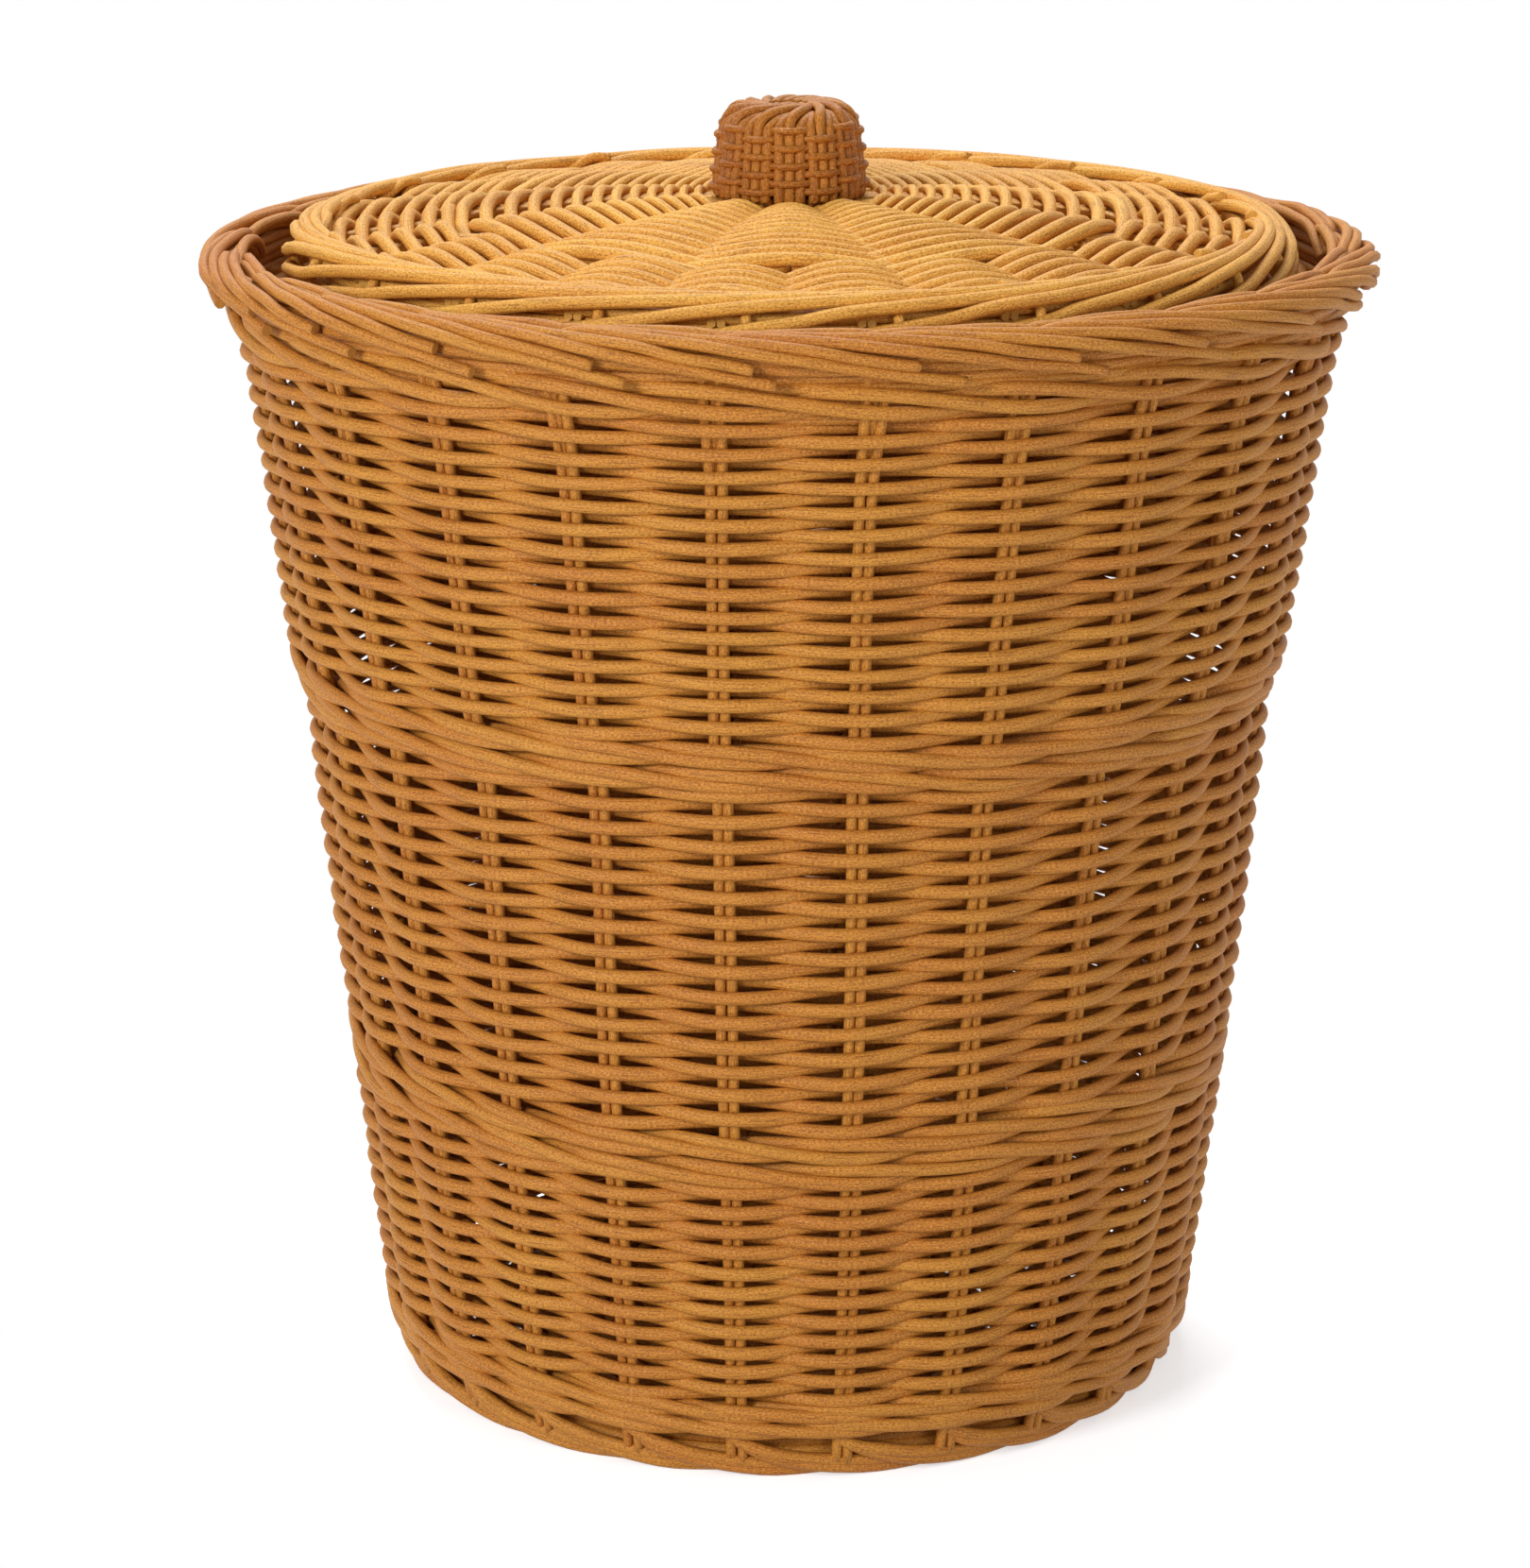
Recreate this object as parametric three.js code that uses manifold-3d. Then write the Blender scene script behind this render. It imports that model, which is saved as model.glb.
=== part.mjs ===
// A round wicker waste basket with a lift-off lid, in millimetres, +Z up.
// The origin is the centre of the foot, on the floor. The front of the basket faces -Y.
//
// Pairs of stakes stand round a woven base and carry three fields of randing, a plain over-one
// under-one weave, with bands of waling between them. A rolled border closes the rim and the foot,
// a ledge inside the rim carries the lid, and the lid has its own spokes, weave, border and a
// woven knob. A strand can't squash where it crosses the next as cane does, so each field has
// fewer rows than the real one, of strands at their real thickness.

import * as THREE from 'three';
import { mergeVertices } from 'three/addons/utils/BufferGeometryUtils.js';
import Module from 'manifold-3d';

// The foot and the rim
const FOOT_OUTER_RADIUS = 98.2;
const RIM_OUTER_RADIUS = 140;
const RIM_HEIGHT = 279;

// The outside of the weave: it stands out over the foot border, steps out at the middle wale,
// and flares from a neck below the rim to the rim border, which overhangs it
const FOOT_FLARE_WIDTH = 2.4;
const WALL_FOOT_HEIGHT = 10;
const STEP_RADIUS = 116.8;
const STEP_WIDTH = 4.8;
const NECK_DEPTH = 27;
const RIM_FLARE_WIDTH = 9.8;
const RIM_OVERHANG_WIDTH = 4;

// Stakes and strands of the wall
const STAKE_PAIRS = 24;
const STAKE_PAIR_WIDTH = 4.4;
const STAKE_THICKNESS = 2;
const STRAND_THICKNESS = 2.8;
const CLEARANCE = 0.3;
const ROW_GAP = 0.35;
const FIELD_ROW_HEIGHT = 4.3;
const WALE_ROW_HEIGHT = 3.2;

// Bands of waling, and what keeps them from their neighbours
const FOOT_WALE_GAP = 0.7;
const FOOT_WALE_HEIGHT = 8.6;
const LOWER_WALE_START_HEIGHT = 77;
const LOWER_WALE_HEIGHT = 13;
const MIDDLE_WALE_START_HEIGHT = 172.5;
const MIDDLE_WALE_HEIGHT = 12;
const TOP_WALE_HEIGHT = 13.6;
const TOP_WALE_GAP = 1;

// Borders: each is a ring with rounded edges and one lobe for each post
const BORDER_LOBE_DEPTH = 0.5;
const FOOT_BORDER_WIDTH = 6.4;
const FOOT_BORDER_HEIGHT = 8;
const FOOT_BORDER_ROUND_WIDTH = 1.2;
const RIM_BORDER_WIDTH = 12.6;
const RIM_BORDER_HEIGHT = 8.4;
const RIM_BORDER_ROUND_WIDTH = 2.5;
const RIM_BORDER_TILT_HEIGHT = 0.8;

// Ledge inside the rim, its top measured down from the rim
const LEDGE_DEPTH = 10.8;
const LEDGE_HEIGHT = 6;
const LEDGE_WIDTH = 7.6;
const LEDGE_ROUND_WIDTH = 1.2;

// Spokes and strands of the base and the lid
const DISC_STRAND_THICKNESS = 2.4;
const SPOKE_HALF_WIDTH = 3.2;
const SPOKE_SHARE = 0.1;

// Base
const BASE_SPOKES = 12;
const BASE_SPOKE_THICKNESS = 2.4;
const BASE_HUB_RADIUS = 16;
const BASE_WEAVE_INNER_RADIUS = 21;
const BASE_WEAVE_GAP = 2.2;
const BASE_ROW_WIDTH = 5.3;

// Lid: it rests on the ledge with some play, and its weave ends just inside the spokes' tips
const LID_PLAY_WIDTH = 1.4;
const LID_BORDER_WIDTH = 9.7;
const LID_BORDER_HEIGHT = 13.2;
const LID_BORDER_ROUND_WIDTH = 2.2;
const LID_BORDER_WAIST_DEPTH = 2.6;
const LID_EDGE_DEPTH = 4;
const LID_DOME_HEIGHT = 11.6;
const LID_DOME_MIDDLE_SHARE = 0.86;
const LID_DOME_FORK_SHARE = 0.5;
const LID_SPOKES = 11;
const LID_SPOKE_THICKNESS = 2;
const LID_PRONG_HALF_WIDTH = 1.4;
const LID_OUTER_WEAVE_WIDTH = 29.2;
const LID_FORK_LENGTH = 4;
const LID_MIDDLE_RADIUS = 45;
const LID_WEAVE_END_GAP = 1;
const LID_ROW_WIDTH = 4.1;

// Knob: it stands on the lid's hub, and the lid's weave starts just outside it
const KNOB_RIBS = 13;
const KNOB_FOOT_RADIUS = 19;
const KNOB_HUB_INSET_WIDTH = 1;
const KNOB_WEAVE_GAP = 2.4;
const KNOB_TOP_RADIUS = 16;
const KNOB_HEIGHT = 21.9;
const KNOB_CROWN_HEIGHT = 4.2;
const KNOB_CROWN_ROUND_WIDTH = 1.4;
const KNOB_CROWN_FLAT_SHARE = 0.46;
const KNOB_ROW_HEIGHT = 2.9;
const KNOB_RIB_WIDTH = 1.8;
const KNOB_RIB_THICKNESS = 1.6;
const KNOB_STRAND_THICKNESS = 1.4;

const FULL_TURN = 2 * Math.PI;
const FRONT = -Math.PI / 2;

const wasm = await Module();
wasm.setup();

const SIDE_CANE = { color: 0xc98a3f, roughness: 0.6, metalness: 0 };
const LID_CANE = { color: 0xe2aa5a, roughness: 0.6, metalness: 0 };
const KNOB_CANE = { color: 0xb0722f, roughness: 0.6, metalness: 0 };

// Value of a line through [x, y] points that are sorted by x, level beyond its ends
function along(points, x) {
  const next = points.findIndex(([px]) => px >= x);
  if (next === 0) return points[0][1];
  if (next < 0) return points[points.length - 1][1];
  const [x0, y0] = points[next - 1];
  const [x1, y1] = points[next];
  return y0 + ((y1 - y0) * (x - x0)) / (x1 - x0);
}

// A point in the meridian plane at an angle
const polar = (angle, radius, height) =>
  new THREE.Vector3(radius * Math.cos(angle), radius * Math.sin(angle), height);

// Skins a closed body through rings of corners: a ring of rings when closed, else with flat ends
function skin(rings, closed = false) {
  const corners = rings[0].length;
  const positions = rings.flat().flatMap((point) => point.toArray());
  const index = [];
  const last = closed ? rings.length : rings.length - 1;
  for (let ring = 0; ring < last; ring++) {
    const next = (ring + 1) % rings.length;
    for (let corner = 0; corner < corners; corner++) {
      const beside = (corner + 1) % corners;
      const a = ring * corners + corner;
      const b = ring * corners + beside;
      const c = next * corners + corner;
      const d = next * corners + beside;
      index.push(a, b, d, a, d, c);
    }
  }
  if (!closed) {
    const end = (rings.length - 1) * corners;
    for (let corner = 1; corner < corners - 1; corner++) {
      index.push(0, corner + 1, corner, end, end + corner, end + corner + 1);
    }
  }
  const geometry = new THREE.BufferGeometry();
  geometry.setAttribute('position', new THREE.Float32BufferAttribute(positions, 3));
  geometry.setIndex(index);
  return facingOut(geometry);
}

// The corners of a flat bar, as sides of its middle
const BAR_CORNERS = [
  [-1, -1],
  [1, -1],
  [1, 1],
  [-1, 1],
];

// Turns the triangles round if they enclose a negative volume
function facingOut(geometry) {
  const position = geometry.attributes.position;
  const index = geometry.index.array;
  const [a, b, c] = [new THREE.Vector3(), new THREE.Vector3(), new THREE.Vector3()];
  let volume = 0;
  for (let i = 0; i < index.length; i += 3) {
    a.fromBufferAttribute(position, index[i]);
    b.fromBufferAttribute(position, index[i + 1]);
    c.fromBufferAttribute(position, index[i + 2]);
    volume += a.dot(b.cross(c));
  }
  if (volume < 0) geometry.setIndex(Array.from(index).reverse());
  return geometry;
}

// A plate over flat cells. A cell lists its plan corners in turn, and neighbours share corners.
// The plate's middle follows levelAt(radius), and it has a wall wherever a cell has no neighbour.
function plate(cells, levelAt, thickness) {
  const corners = new Map();
  const numberOf = (corner) => {
    const key = `${corner.x.toFixed(3)} ${corner.y.toFixed(3)}`;
    if (!corners.has(key)) corners.set(key, { number: corners.size, corner });
    return corners.get(key).number;
  };
  const numbered = cells.map((cell) => cell.map(numberOf));
  const positions = [];
  for (const { corner } of corners.values()) {
    const level = levelAt(Math.hypot(corner.x, corner.y));
    positions.push(corner.x, corner.y, level + thickness / 2, corner.x, corner.y, level - thickness / 2);
  }
  const edges = new Set(
    numbered.flatMap((cell) => cell.map((corner, i) => `${corner} ${cell[(i + 1) % cell.length]}`)),
  );
  const index = [];
  for (const cell of numbered) {
    for (let i = 1; i < cell.length - 1; i++) {
      const [a, b, c] = [cell[0], cell[i], cell[i + 1]];
      index.push(2 * a, 2 * b, 2 * c, 2 * a + 1, 2 * c + 1, 2 * b + 1);
    }
    for (let i = 0; i < cell.length; i++) {
      const [a, b] = [cell[i], cell[(i + 1) % cell.length]];
      if (!edges.has(`${b} ${a}`)) {
        index.push(2 * a, 2 * a + 1, 2 * b + 1, 2 * a, 2 * b + 1, 2 * b);
      }
    }
  }
  const geometry = new THREE.BufferGeometry();
  geometry.setAttribute('position', new THREE.Float32BufferAttribute(positions, 3));
  geometry.setIndex(index);
  return facingOut(geometry);
}

// A copy of a geometry with only its positions
function withoutNormals(geometry) {
  const copy = geometry.clone();
  copy.deleteAttribute('normal');
  copy.deleteAttribute('uv');
  return copy;
}

// Joins closed geometries into one solid
function fuse(geometries) {
  const solids = geometries.map((geometry) => {
    const merged = mergeVertices(withoutNormals(geometry));
    return new wasm.Manifold(
      new wasm.Mesh({
        numProp: 3,
        vertProperties: new Float32Array(merged.attributes.position.array),
        triVerts: new Uint32Array(merged.index.array),
      }),
    );
  });
  const mesh = solids.reduce((whole, solid) => whole.add(solid)).getMesh();
  const geometry = new THREE.BufferGeometry();
  geometry.setAttribute('position', new THREE.BufferAttribute(mesh.vertProperties, 3));
  geometry.setIndex(new THREE.BufferAttribute(mesh.triVerts, 1));
  return geometry;
}

const basket = new THREE.Group();
const lid = new THREE.Group();

function addPiece(group, name, geometry, finish) {
  geometry.computeVertexNormals();
  const mesh = new THREE.Mesh(geometry, new THREE.MeshStandardMaterial(finish));
  mesh.name = name;
  group.add(mesh);
}

// How far a strand's centre stands off a stake's centre. The strand runs straight to the next
// stake, so at the stake's edge it has already come nearer, and the offset makes up for that.
function standOff(postThickness, postWidth, strandThickness, postRadius, posts) {
  const bare = postThickness / 2 + CLEARANCE + strandThickness / 2;
  const halfTurn = Math.PI / posts;
  const spacing = 2 * (postRadius - 3 * bare) * Math.sin(halfTurn);
  const nearing = (postWidth / 2) * Math.tan(halfTurn);
  return (bare + nearing) / (1 - postWidth / spacing);
}

// Levels of the bands. The foot wale clears the base's spokes, which lie on the foot border.
const footWaleLow = FOOT_BORDER_HEIGHT + CLEARANCE + BASE_SPOKE_THICKNESS + FOOT_WALE_GAP;
const footWaleHigh = footWaleLow + FOOT_WALE_HEIGHT;
const lowerWaleHigh = LOWER_WALE_START_HEIGHT + LOWER_WALE_HEIGHT;
const middleWaleHigh = MIDDLE_WALE_START_HEIGHT + MIDDLE_WALE_HEIGHT;
const rimBorderLow = RIM_HEIGHT - RIM_BORDER_HEIGHT;
const topWaleHigh = rimBorderLow - TOP_WALE_GAP;
const topWaleLow = topWaleHigh - TOP_WALE_HEIGHT;

// Whole turns of strand that fill a reach with rows of about one width, one row over for its climb
const turnsIn = (reach, rowWidth, strands) =>
  Math.max(1, Math.round((reach / rowWidth - 1) / strands));

// The wall's outside, and the stakes' centre line inside it
const wallFootRadius = FOOT_OUTER_RADIUS + FOOT_FLARE_WIDTH;
const WALL_PROFILE = [
  [WALL_FOOT_HEIGHT, wallFootRadius],
  [MIDDLE_WALE_START_HEIGHT, STEP_RADIUS],
  [middleWaleHigh, STEP_RADIUS + STEP_WIDTH],
  [RIM_HEIGHT - NECK_DEPTH, RIM_OUTER_RADIUS - RIM_FLARE_WIDTH],
  [rimBorderLow, RIM_OUTER_RADIUS - RIM_OVERHANG_WIDTH],
];
const WALL_STAND_OFF = standOff(
  STAKE_THICKNESS,
  STAKE_PAIR_WIDTH,
  STRAND_THICKNESS,
  wallFootRadius,
  STAKE_PAIRS,
);
const STAKE_DEPTH = WALL_STAND_OFF + STRAND_THICKNESS / 2;
const stakeRadius = (height) => along(WALL_PROFILE, height) - STAKE_DEPTH;
const stakeAngle = (stake) => FRONT + (stake + 0.5) * (FULL_TURN / STAKE_PAIRS);

// A stake pair: two rods side by side, from the foot border to the rim border
function stakePair(stake) {
  const angle = stakeAngle(stake);
  const outward = polar(angle, 1, 0);
  const sideways = polar(angle + Math.PI / 2, 1, 0);
  const heights = [
    FOOT_BORDER_HEIGHT + CLEARANCE,
    MIDDLE_WALE_START_HEIGHT,
    middleWaleHigh,
    RIM_HEIGHT - NECK_DEPTH,
    rimBorderLow - CLEARANCE,
  ];
  return skin(
    heights.map((height) =>
      BAR_CORNERS.map(([side, depth]) =>
        outward
          .clone()
          .multiplyScalar(stakeRadius(height) + (depth * STAKE_THICKNESS) / 2)
          .addScaledVector(sideways, (side * STAKE_PAIR_WIDTH) / 2)
          .setZ(height),
      ),
    ),
  );
}

// The section of a strand that climbs a wall: round side outward, flat side along the posts
function strandSection(angle, postRadiusAt, height, offset, thickness, halfHeight) {
  const corner = (depth, level) =>
    polar(angle, postRadiusAt(height + level) + offset + (depth * thickness) / 2, height + level);
  return [corner(1, 0), corner(-1, -halfHeight), corner(-1, halfHeight)];
}

// A strand wound up the wall: at each stake it passes outside (+1) or inside (-1)
function wallStrand({ low, high, pitch, turns, firstStake, sideAt }) {
  const rings = [];
  const steps = turns * STAKE_PAIRS;
  const start = low + rowPitch(low, high, pitch.rows) / 2;
  const rise = rowPitch(low, high, pitch.rows) * pitch.starts;
  const halfHeight = (rowPitch(low, high, pitch.rows) - ROW_GAP) / 2;
  for (let step = 0; step <= steps; step++) {
    const angle = stakeAngle(firstStake + step);
    const height = start + (rise * step) / STAKE_PAIRS;
    const offset = sideAt(step) * WALL_STAND_OFF;
    rings.push(strandSection(angle, stakeRadius, height, offset, STRAND_THICKNESS, halfHeight));
  }
  return skin(rings);
}

const rowPitch = (low, high, rows) => (high - low) / rows;

// Randing: two strands that start on opposite sides of the basket and change sides at each stake
function randingStrand(low, high, strand) {
  const turns = turnsIn(high - low, FIELD_ROW_HEIGHT, 2);
  const firstStake = strand * (STAKE_PAIRS / 2);
  return wallStrand({
    low,
    high,
    pitch: { rows: 2 * turns + 1, starts: 2 },
    turns,
    firstStake,
    sideAt: (step) => ((firstStake + step + strand) % 2 === 0 ? 1 : -1),
  });
}

// Waling: over two stakes and behind one, a stake further on in each row, stepped up at the back
function wale(low, high) {
  const turns = turnsIn(high - low, WALE_ROW_HEIGHT, 1);
  const backStake = STAKE_PAIRS / 2;
  return wallStrand({
    low,
    high,
    pitch: { rows: turns + 1, starts: 1 },
    turns,
    firstStake: backStake,
    sideAt: (step) => ((step + Math.floor(step / STAKE_PAIRS)) % 3 === 0 ? -1 : 1),
  });
}

// A rolled border: a ring whose rods lie over each other in one lobe for each post.
// The profile lists [radius, height, lobe] corners, and the lobe moves a corner outward.
function rolledBorder(profile, posts, firstAngle) {
  const stations = 2 * posts;
  const rings = [];
  for (let station = 0; station < stations; station++) {
    const angle = firstAngle + (station * FULL_TURN) / stations;
    rings.push(
      profile.map(([radius, height, lobe]) =>
        polar(angle, radius + lobe * (station % 2 === 0 ? BORDER_LOBE_DEPTH : -BORDER_LOBE_DEPTH), height),
      ),
    );
  }
  return skin(rings, true);
}

function footBorder() {
  const inner = FOOT_OUTER_RADIUS - FOOT_BORDER_WIDTH;
  const waist = FOOT_BORDER_HEIGHT / 2;
  return rolledBorder(
    [
      [inner + FOOT_BORDER_ROUND_WIDTH, 0, 0],
      [FOOT_OUTER_RADIUS - FOOT_BORDER_ROUND_WIDTH, 0, 0],
      [FOOT_OUTER_RADIUS, waist, 1],
      [FOOT_OUTER_RADIUS - FOOT_BORDER_ROUND_WIDTH / 2, FOOT_BORDER_HEIGHT, 0],
      [inner + FOOT_BORDER_ROUND_WIDTH, FOOT_BORDER_HEIGHT, 0],
      [inner, waist, 0],
    ],
    STAKE_PAIRS,
    FRONT,
  );
}

function rimBorder() {
  const inner = RIM_OUTER_RADIUS - RIM_BORDER_WIDTH;
  const waist = (rimBorderLow + RIM_HEIGHT) / 2;
  return rolledBorder(
    [
      [inner + RIM_BORDER_ROUND_WIDTH, rimBorderLow, 0],
      [RIM_OUTER_RADIUS - RIM_OVERHANG_WIDTH, rimBorderLow, 0],
      [RIM_OUTER_RADIUS - BORDER_LOBE_DEPTH, waist + RIM_BORDER_TILT_HEIGHT, 1],
      [RIM_OUTER_RADIUS - RIM_BORDER_ROUND_WIDTH, RIM_HEIGHT, -1],
      [inner + RIM_OVERHANG_WIDTH, RIM_HEIGHT - RIM_BORDER_TILT_HEIGHT, 1],
      [inner + BORDER_LOBE_DEPTH, waist, -1],
    ],
    STAKE_PAIRS,
    FRONT,
  );
}

// The ledge lies against the inside of the top wale and carries the lid
const ledgeTop = RIM_HEIGHT - LEDGE_DEPTH;
const ledgeBottom = ledgeTop - LEDGE_HEIGHT;
const ledgeOuterRadius =
  stakeRadius(ledgeBottom) - WALL_STAND_OFF - STRAND_THICKNESS / 2 - CLEARANCE;
const ledgeInnerRadius = ledgeOuterRadius - LEDGE_WIDTH;

function lidLedge() {
  const rings = [];
  for (let stake = 0; stake < STAKE_PAIRS; stake++) {
    const angle = stakeAngle(stake);
    rings.push([
      polar(angle, ledgeInnerRadius + LEDGE_ROUND_WIDTH, ledgeBottom + LEDGE_ROUND_WIDTH),
      polar(angle, ledgeOuterRadius, ledgeBottom),
      polar(angle, ledgeOuterRadius, ledgeTop - LEDGE_ROUND_WIDTH),
      polar(angle, ledgeOuterRadius - LEDGE_ROUND_WIDTH, ledgeTop),
      polar(angle, ledgeInnerRadius, ledgeTop),
    ]);
  }
  return skin(rings, true);
}

// Half the width of a flat spoke at a radius, at most its share of the way round to the next
const spokeHalfWidth = (radius, spokes, most) =>
  Math.min(most, (SPOKE_SHARE * FULL_TURN * radius) / spokes);

// A strand wound outward over a disc of spokes, lifted above each spoke or lowered under it.
// Its flat underside follows the slope of the surface that levelAt gives.
function discStrand(stations, levelAt, halfWidth) {
  return skin(
    stations.map(({ angle, radius, lift }) => {
      const corner = (aside, up) =>
        polar(angle, radius + aside, levelAt(radius + aside) + lift + (up * DISC_STRAND_THICKNESS) / 2);
      return [corner(0, 1), corner(-halfWidth, -1), corner(halfWidth, -1)];
    }),
  );
}

// Stand-off of a strand above or below a spoke, from half the spoke's width as a share of the
// way round to the next spoke
const discStandOff = (spokeThickness, halfWidthShare) =>
  (spokeThickness / 2 + CLEARANCE + DISC_STRAND_THICKNESS / 2) / (1 - 2 * halfWidthShare);

// The base lies on the foot border, and its spokes end at the stakes
const baseLevel = FOOT_BORDER_HEIGHT + CLEARANCE + BASE_SPOKE_THICKNESS / 2;
const baseSpokeAngle = (spoke) => stakeAngle(0) + (spoke * FULL_TURN) / BASE_SPOKES;

function baseSpokes() {
  const tip = stakeRadius(baseLevel) - STAKE_THICKNESS / 2 - CLEARANCE;
  const outline = [];
  for (let spoke = 0; spoke < BASE_SPOKES; spoke++) {
    const angle = baseSpokeAngle(spoke);
    const outward = polar(angle, 1, 0);
    const sideways = polar(angle + Math.PI / 2, 1, 0);
    const inner = spokeHalfWidth(BASE_HUB_RADIUS, BASE_SPOKES, SPOKE_HALF_WIDTH);
    const corners = [
      [BASE_HUB_RADIUS, -inner],
      [tip, -SPOKE_HALF_WIDTH],
      [tip, SPOKE_HALF_WIDTH],
      [BASE_HUB_RADIUS, inner],
    ];
    for (const [out, side] of corners) {
      const corner = outward.clone().multiplyScalar(out).addScaledVector(sideways, side);
      outline.push(new THREE.Vector2(corner.x, corner.y));
    }
  }
  const star = new THREE.ExtrudeGeometry(new THREE.Shape(outline), {
    depth: BASE_SPOKE_THICKNESS,
    bevelEnabled: false,
  });
  return star.translate(0, 0, baseLevel - BASE_SPOKE_THICKNESS / 2);
}

// The base's weave: its strands dip inside the foot border, so it ends short of the border
function baseStrand(strand) {
  const reach = FOOT_OUTER_RADIUS - FOOT_BORDER_WIDTH - BASE_WEAVE_GAP - BASE_WEAVE_INNER_RADIUS;
  const turns = turnsIn(reach, BASE_ROW_WIDTH, 2);
  const pitch = reach / (2 * turns + 1);
  const firstSpoke = strand * (BASE_SPOKES / 2);
  const stations = [];
  for (let step = 0; step <= turns * BASE_SPOKES; step++) {
    const radius = BASE_WEAVE_INNER_RADIUS + pitch / 2 + (2 * pitch * step) / BASE_SPOKES;
    const side = (firstSpoke + step + strand) % 2 === 0 ? 1 : -1;
    stations.push({
      angle: baseSpokeAngle(firstSpoke + step),
      radius,
      lift: side * discStandOff(BASE_SPOKE_THICKNESS, SPOKE_SHARE),
    });
  }
  return discStrand(stations, () => baseLevel, (pitch - ROW_GAP) / 2);
}

// The lid's levels: its border stands on the ledge, and the spokes rise from it in a low dome
const lidBottom = ledgeTop + CLEARANCE;
const lidTop = lidBottom + LID_BORDER_HEIGHT;
const lidRadius = ledgeOuterRadius - LID_PLAY_WIDTH;
const lidBorderInner = lidRadius - LID_BORDER_WIDTH;
const lidSpokeTip = lidBorderInner - 2 * CLEARANCE;
const lidWeaveOuterRadius = lidSpokeTip - LID_WEAVE_END_GAP;
const lidEdgeLevel = lidTop - LID_EDGE_DEPTH;
const lidHubRadius = KNOB_FOOT_RADIUS - KNOB_HUB_INSET_WIDTH;
const lidWeaveInnerRadius = KNOB_FOOT_RADIUS + KNOB_WEAVE_GAP;
const lidForkEnd = lidWeaveOuterRadius - LID_OUTER_WEAVE_WIDTH;
const lidForkRadius = lidForkEnd - LID_FORK_LENGTH;
const DOME_PROFILE = [
  [lidHubRadius, lidEdgeLevel + LID_DOME_HEIGHT],
  [LID_MIDDLE_RADIUS, lidEdgeLevel + LID_DOME_MIDDLE_SHARE * LID_DOME_HEIGHT],
  [lidForkRadius, lidEdgeLevel + LID_DOME_FORK_SHARE * LID_DOME_HEIGHT],
  [lidSpokeTip, lidEdgeLevel],
];
const domeHeight = (radius) => along(DOME_PROFILE, radius);
const lidSpokeAngle = (spoke) => FRONT + (spoke * FULL_TURN) / LID_SPOKES;
const prongSpread = FULL_TURN / LID_SPOKES / 4;
const lidHalfWidth = (radius) => spokeHalfWidth(radius, LID_SPOKES, SPOKE_HALF_WIDTH);

// Spokes that cross in a hub and fork into two prongs each where the lid grows wide
function lidSpokes() {
  const centre = new THREE.Vector3();
  const hubCorners = [];
  const cells = [];
  for (let spoke = 0; spoke < LID_SPOKES; spoke++) {
    const outward = polar(lidSpokeAngle(spoke), 1, 0);
    const sideways = polar(lidSpokeAngle(spoke) + Math.PI / 2, 1, 0);
    const corner = (out, aside) =>
      outward.clone().multiplyScalar(out).addScaledVector(sideways, aside);
    const across = (radius) =>
      [-1, 1].map((side) => corner(radius, side * lidHalfWidth(radius)));
    const [hubRight, hubLeft] = across(lidHubRadius);
    const [middleRight, middleLeft] = across(LID_MIDDLE_RADIUS);
    const [forkRight, forkLeft] = across(lidForkRadius);
    const crotch = corner(lidForkRadius, 0);
    const prongAcross = (side, radius) =>
      [-1, 1].map((edge) =>
        corner(
          radius * Math.cos(prongSpread) - side * edge * LID_PRONG_HALF_WIDTH * Math.sin(prongSpread),
          side * radius * Math.sin(prongSpread) + edge * LID_PRONG_HALF_WIDTH * Math.cos(prongSpread),
        ),
      );
    hubCorners.push(hubRight, hubLeft);
    cells.push(
      [hubRight, middleRight, middleLeft, hubLeft],
      [middleRight, forkRight, crotch, forkLeft, middleLeft],
    );
    for (const [side, root] of [
      [-1, [forkRight, crotch]],
      [1, [crotch, forkLeft]],
    ]) {
      const [bendRight, bendLeft] = prongAcross(side, lidForkEnd);
      const [tipRight, tipLeft] = prongAcross(side, lidSpokeTip);
      cells.push([root[0], bendRight, bendLeft, root[1]], [bendRight, tipRight, tipLeft, bendLeft]);
    }
  }
  hubCorners.forEach((corner, i) => {
    cells.push([centre, corner, hubCorners[(i + 1) % hubCorners.length]]);
  });
  return plate(cells, domeHeight, LID_SPOKE_THICKNESS);
}

// The inner weave: one strand, because the number of spokes is odd
function lidInnerStrand() {
  const reach = lidForkRadius - lidWeaveInnerRadius;
  const turns = turnsIn(reach, LID_ROW_WIDTH, 1);
  const pitch = reach / (turns + 1);
  const stations = [];
  for (let half = 0; half <= 2 * turns * LID_SPOKES; half++) {
    const turn = half / (2 * LID_SPOKES);
    const radius = lidWeaveInnerRadius + pitch / 2 + pitch * turn;
    const atSpoke = half % 2 === 0;
    if (!atSpoke && radius < LID_MIDDLE_RADIUS) continue;
    const side = (half / 2) % 2 === 0 ? 1 : -1;
    stations.push({
      angle: lidSpokeAngle(half / 2),
      radius,
      lift: atSpoke ? side * discStandOff(LID_SPOKE_THICKNESS, SPOKE_SHARE) : 0,
    });
  }
  return discStrand(stations, domeHeight, (pitch - ROW_GAP) / 2);
}

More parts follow.
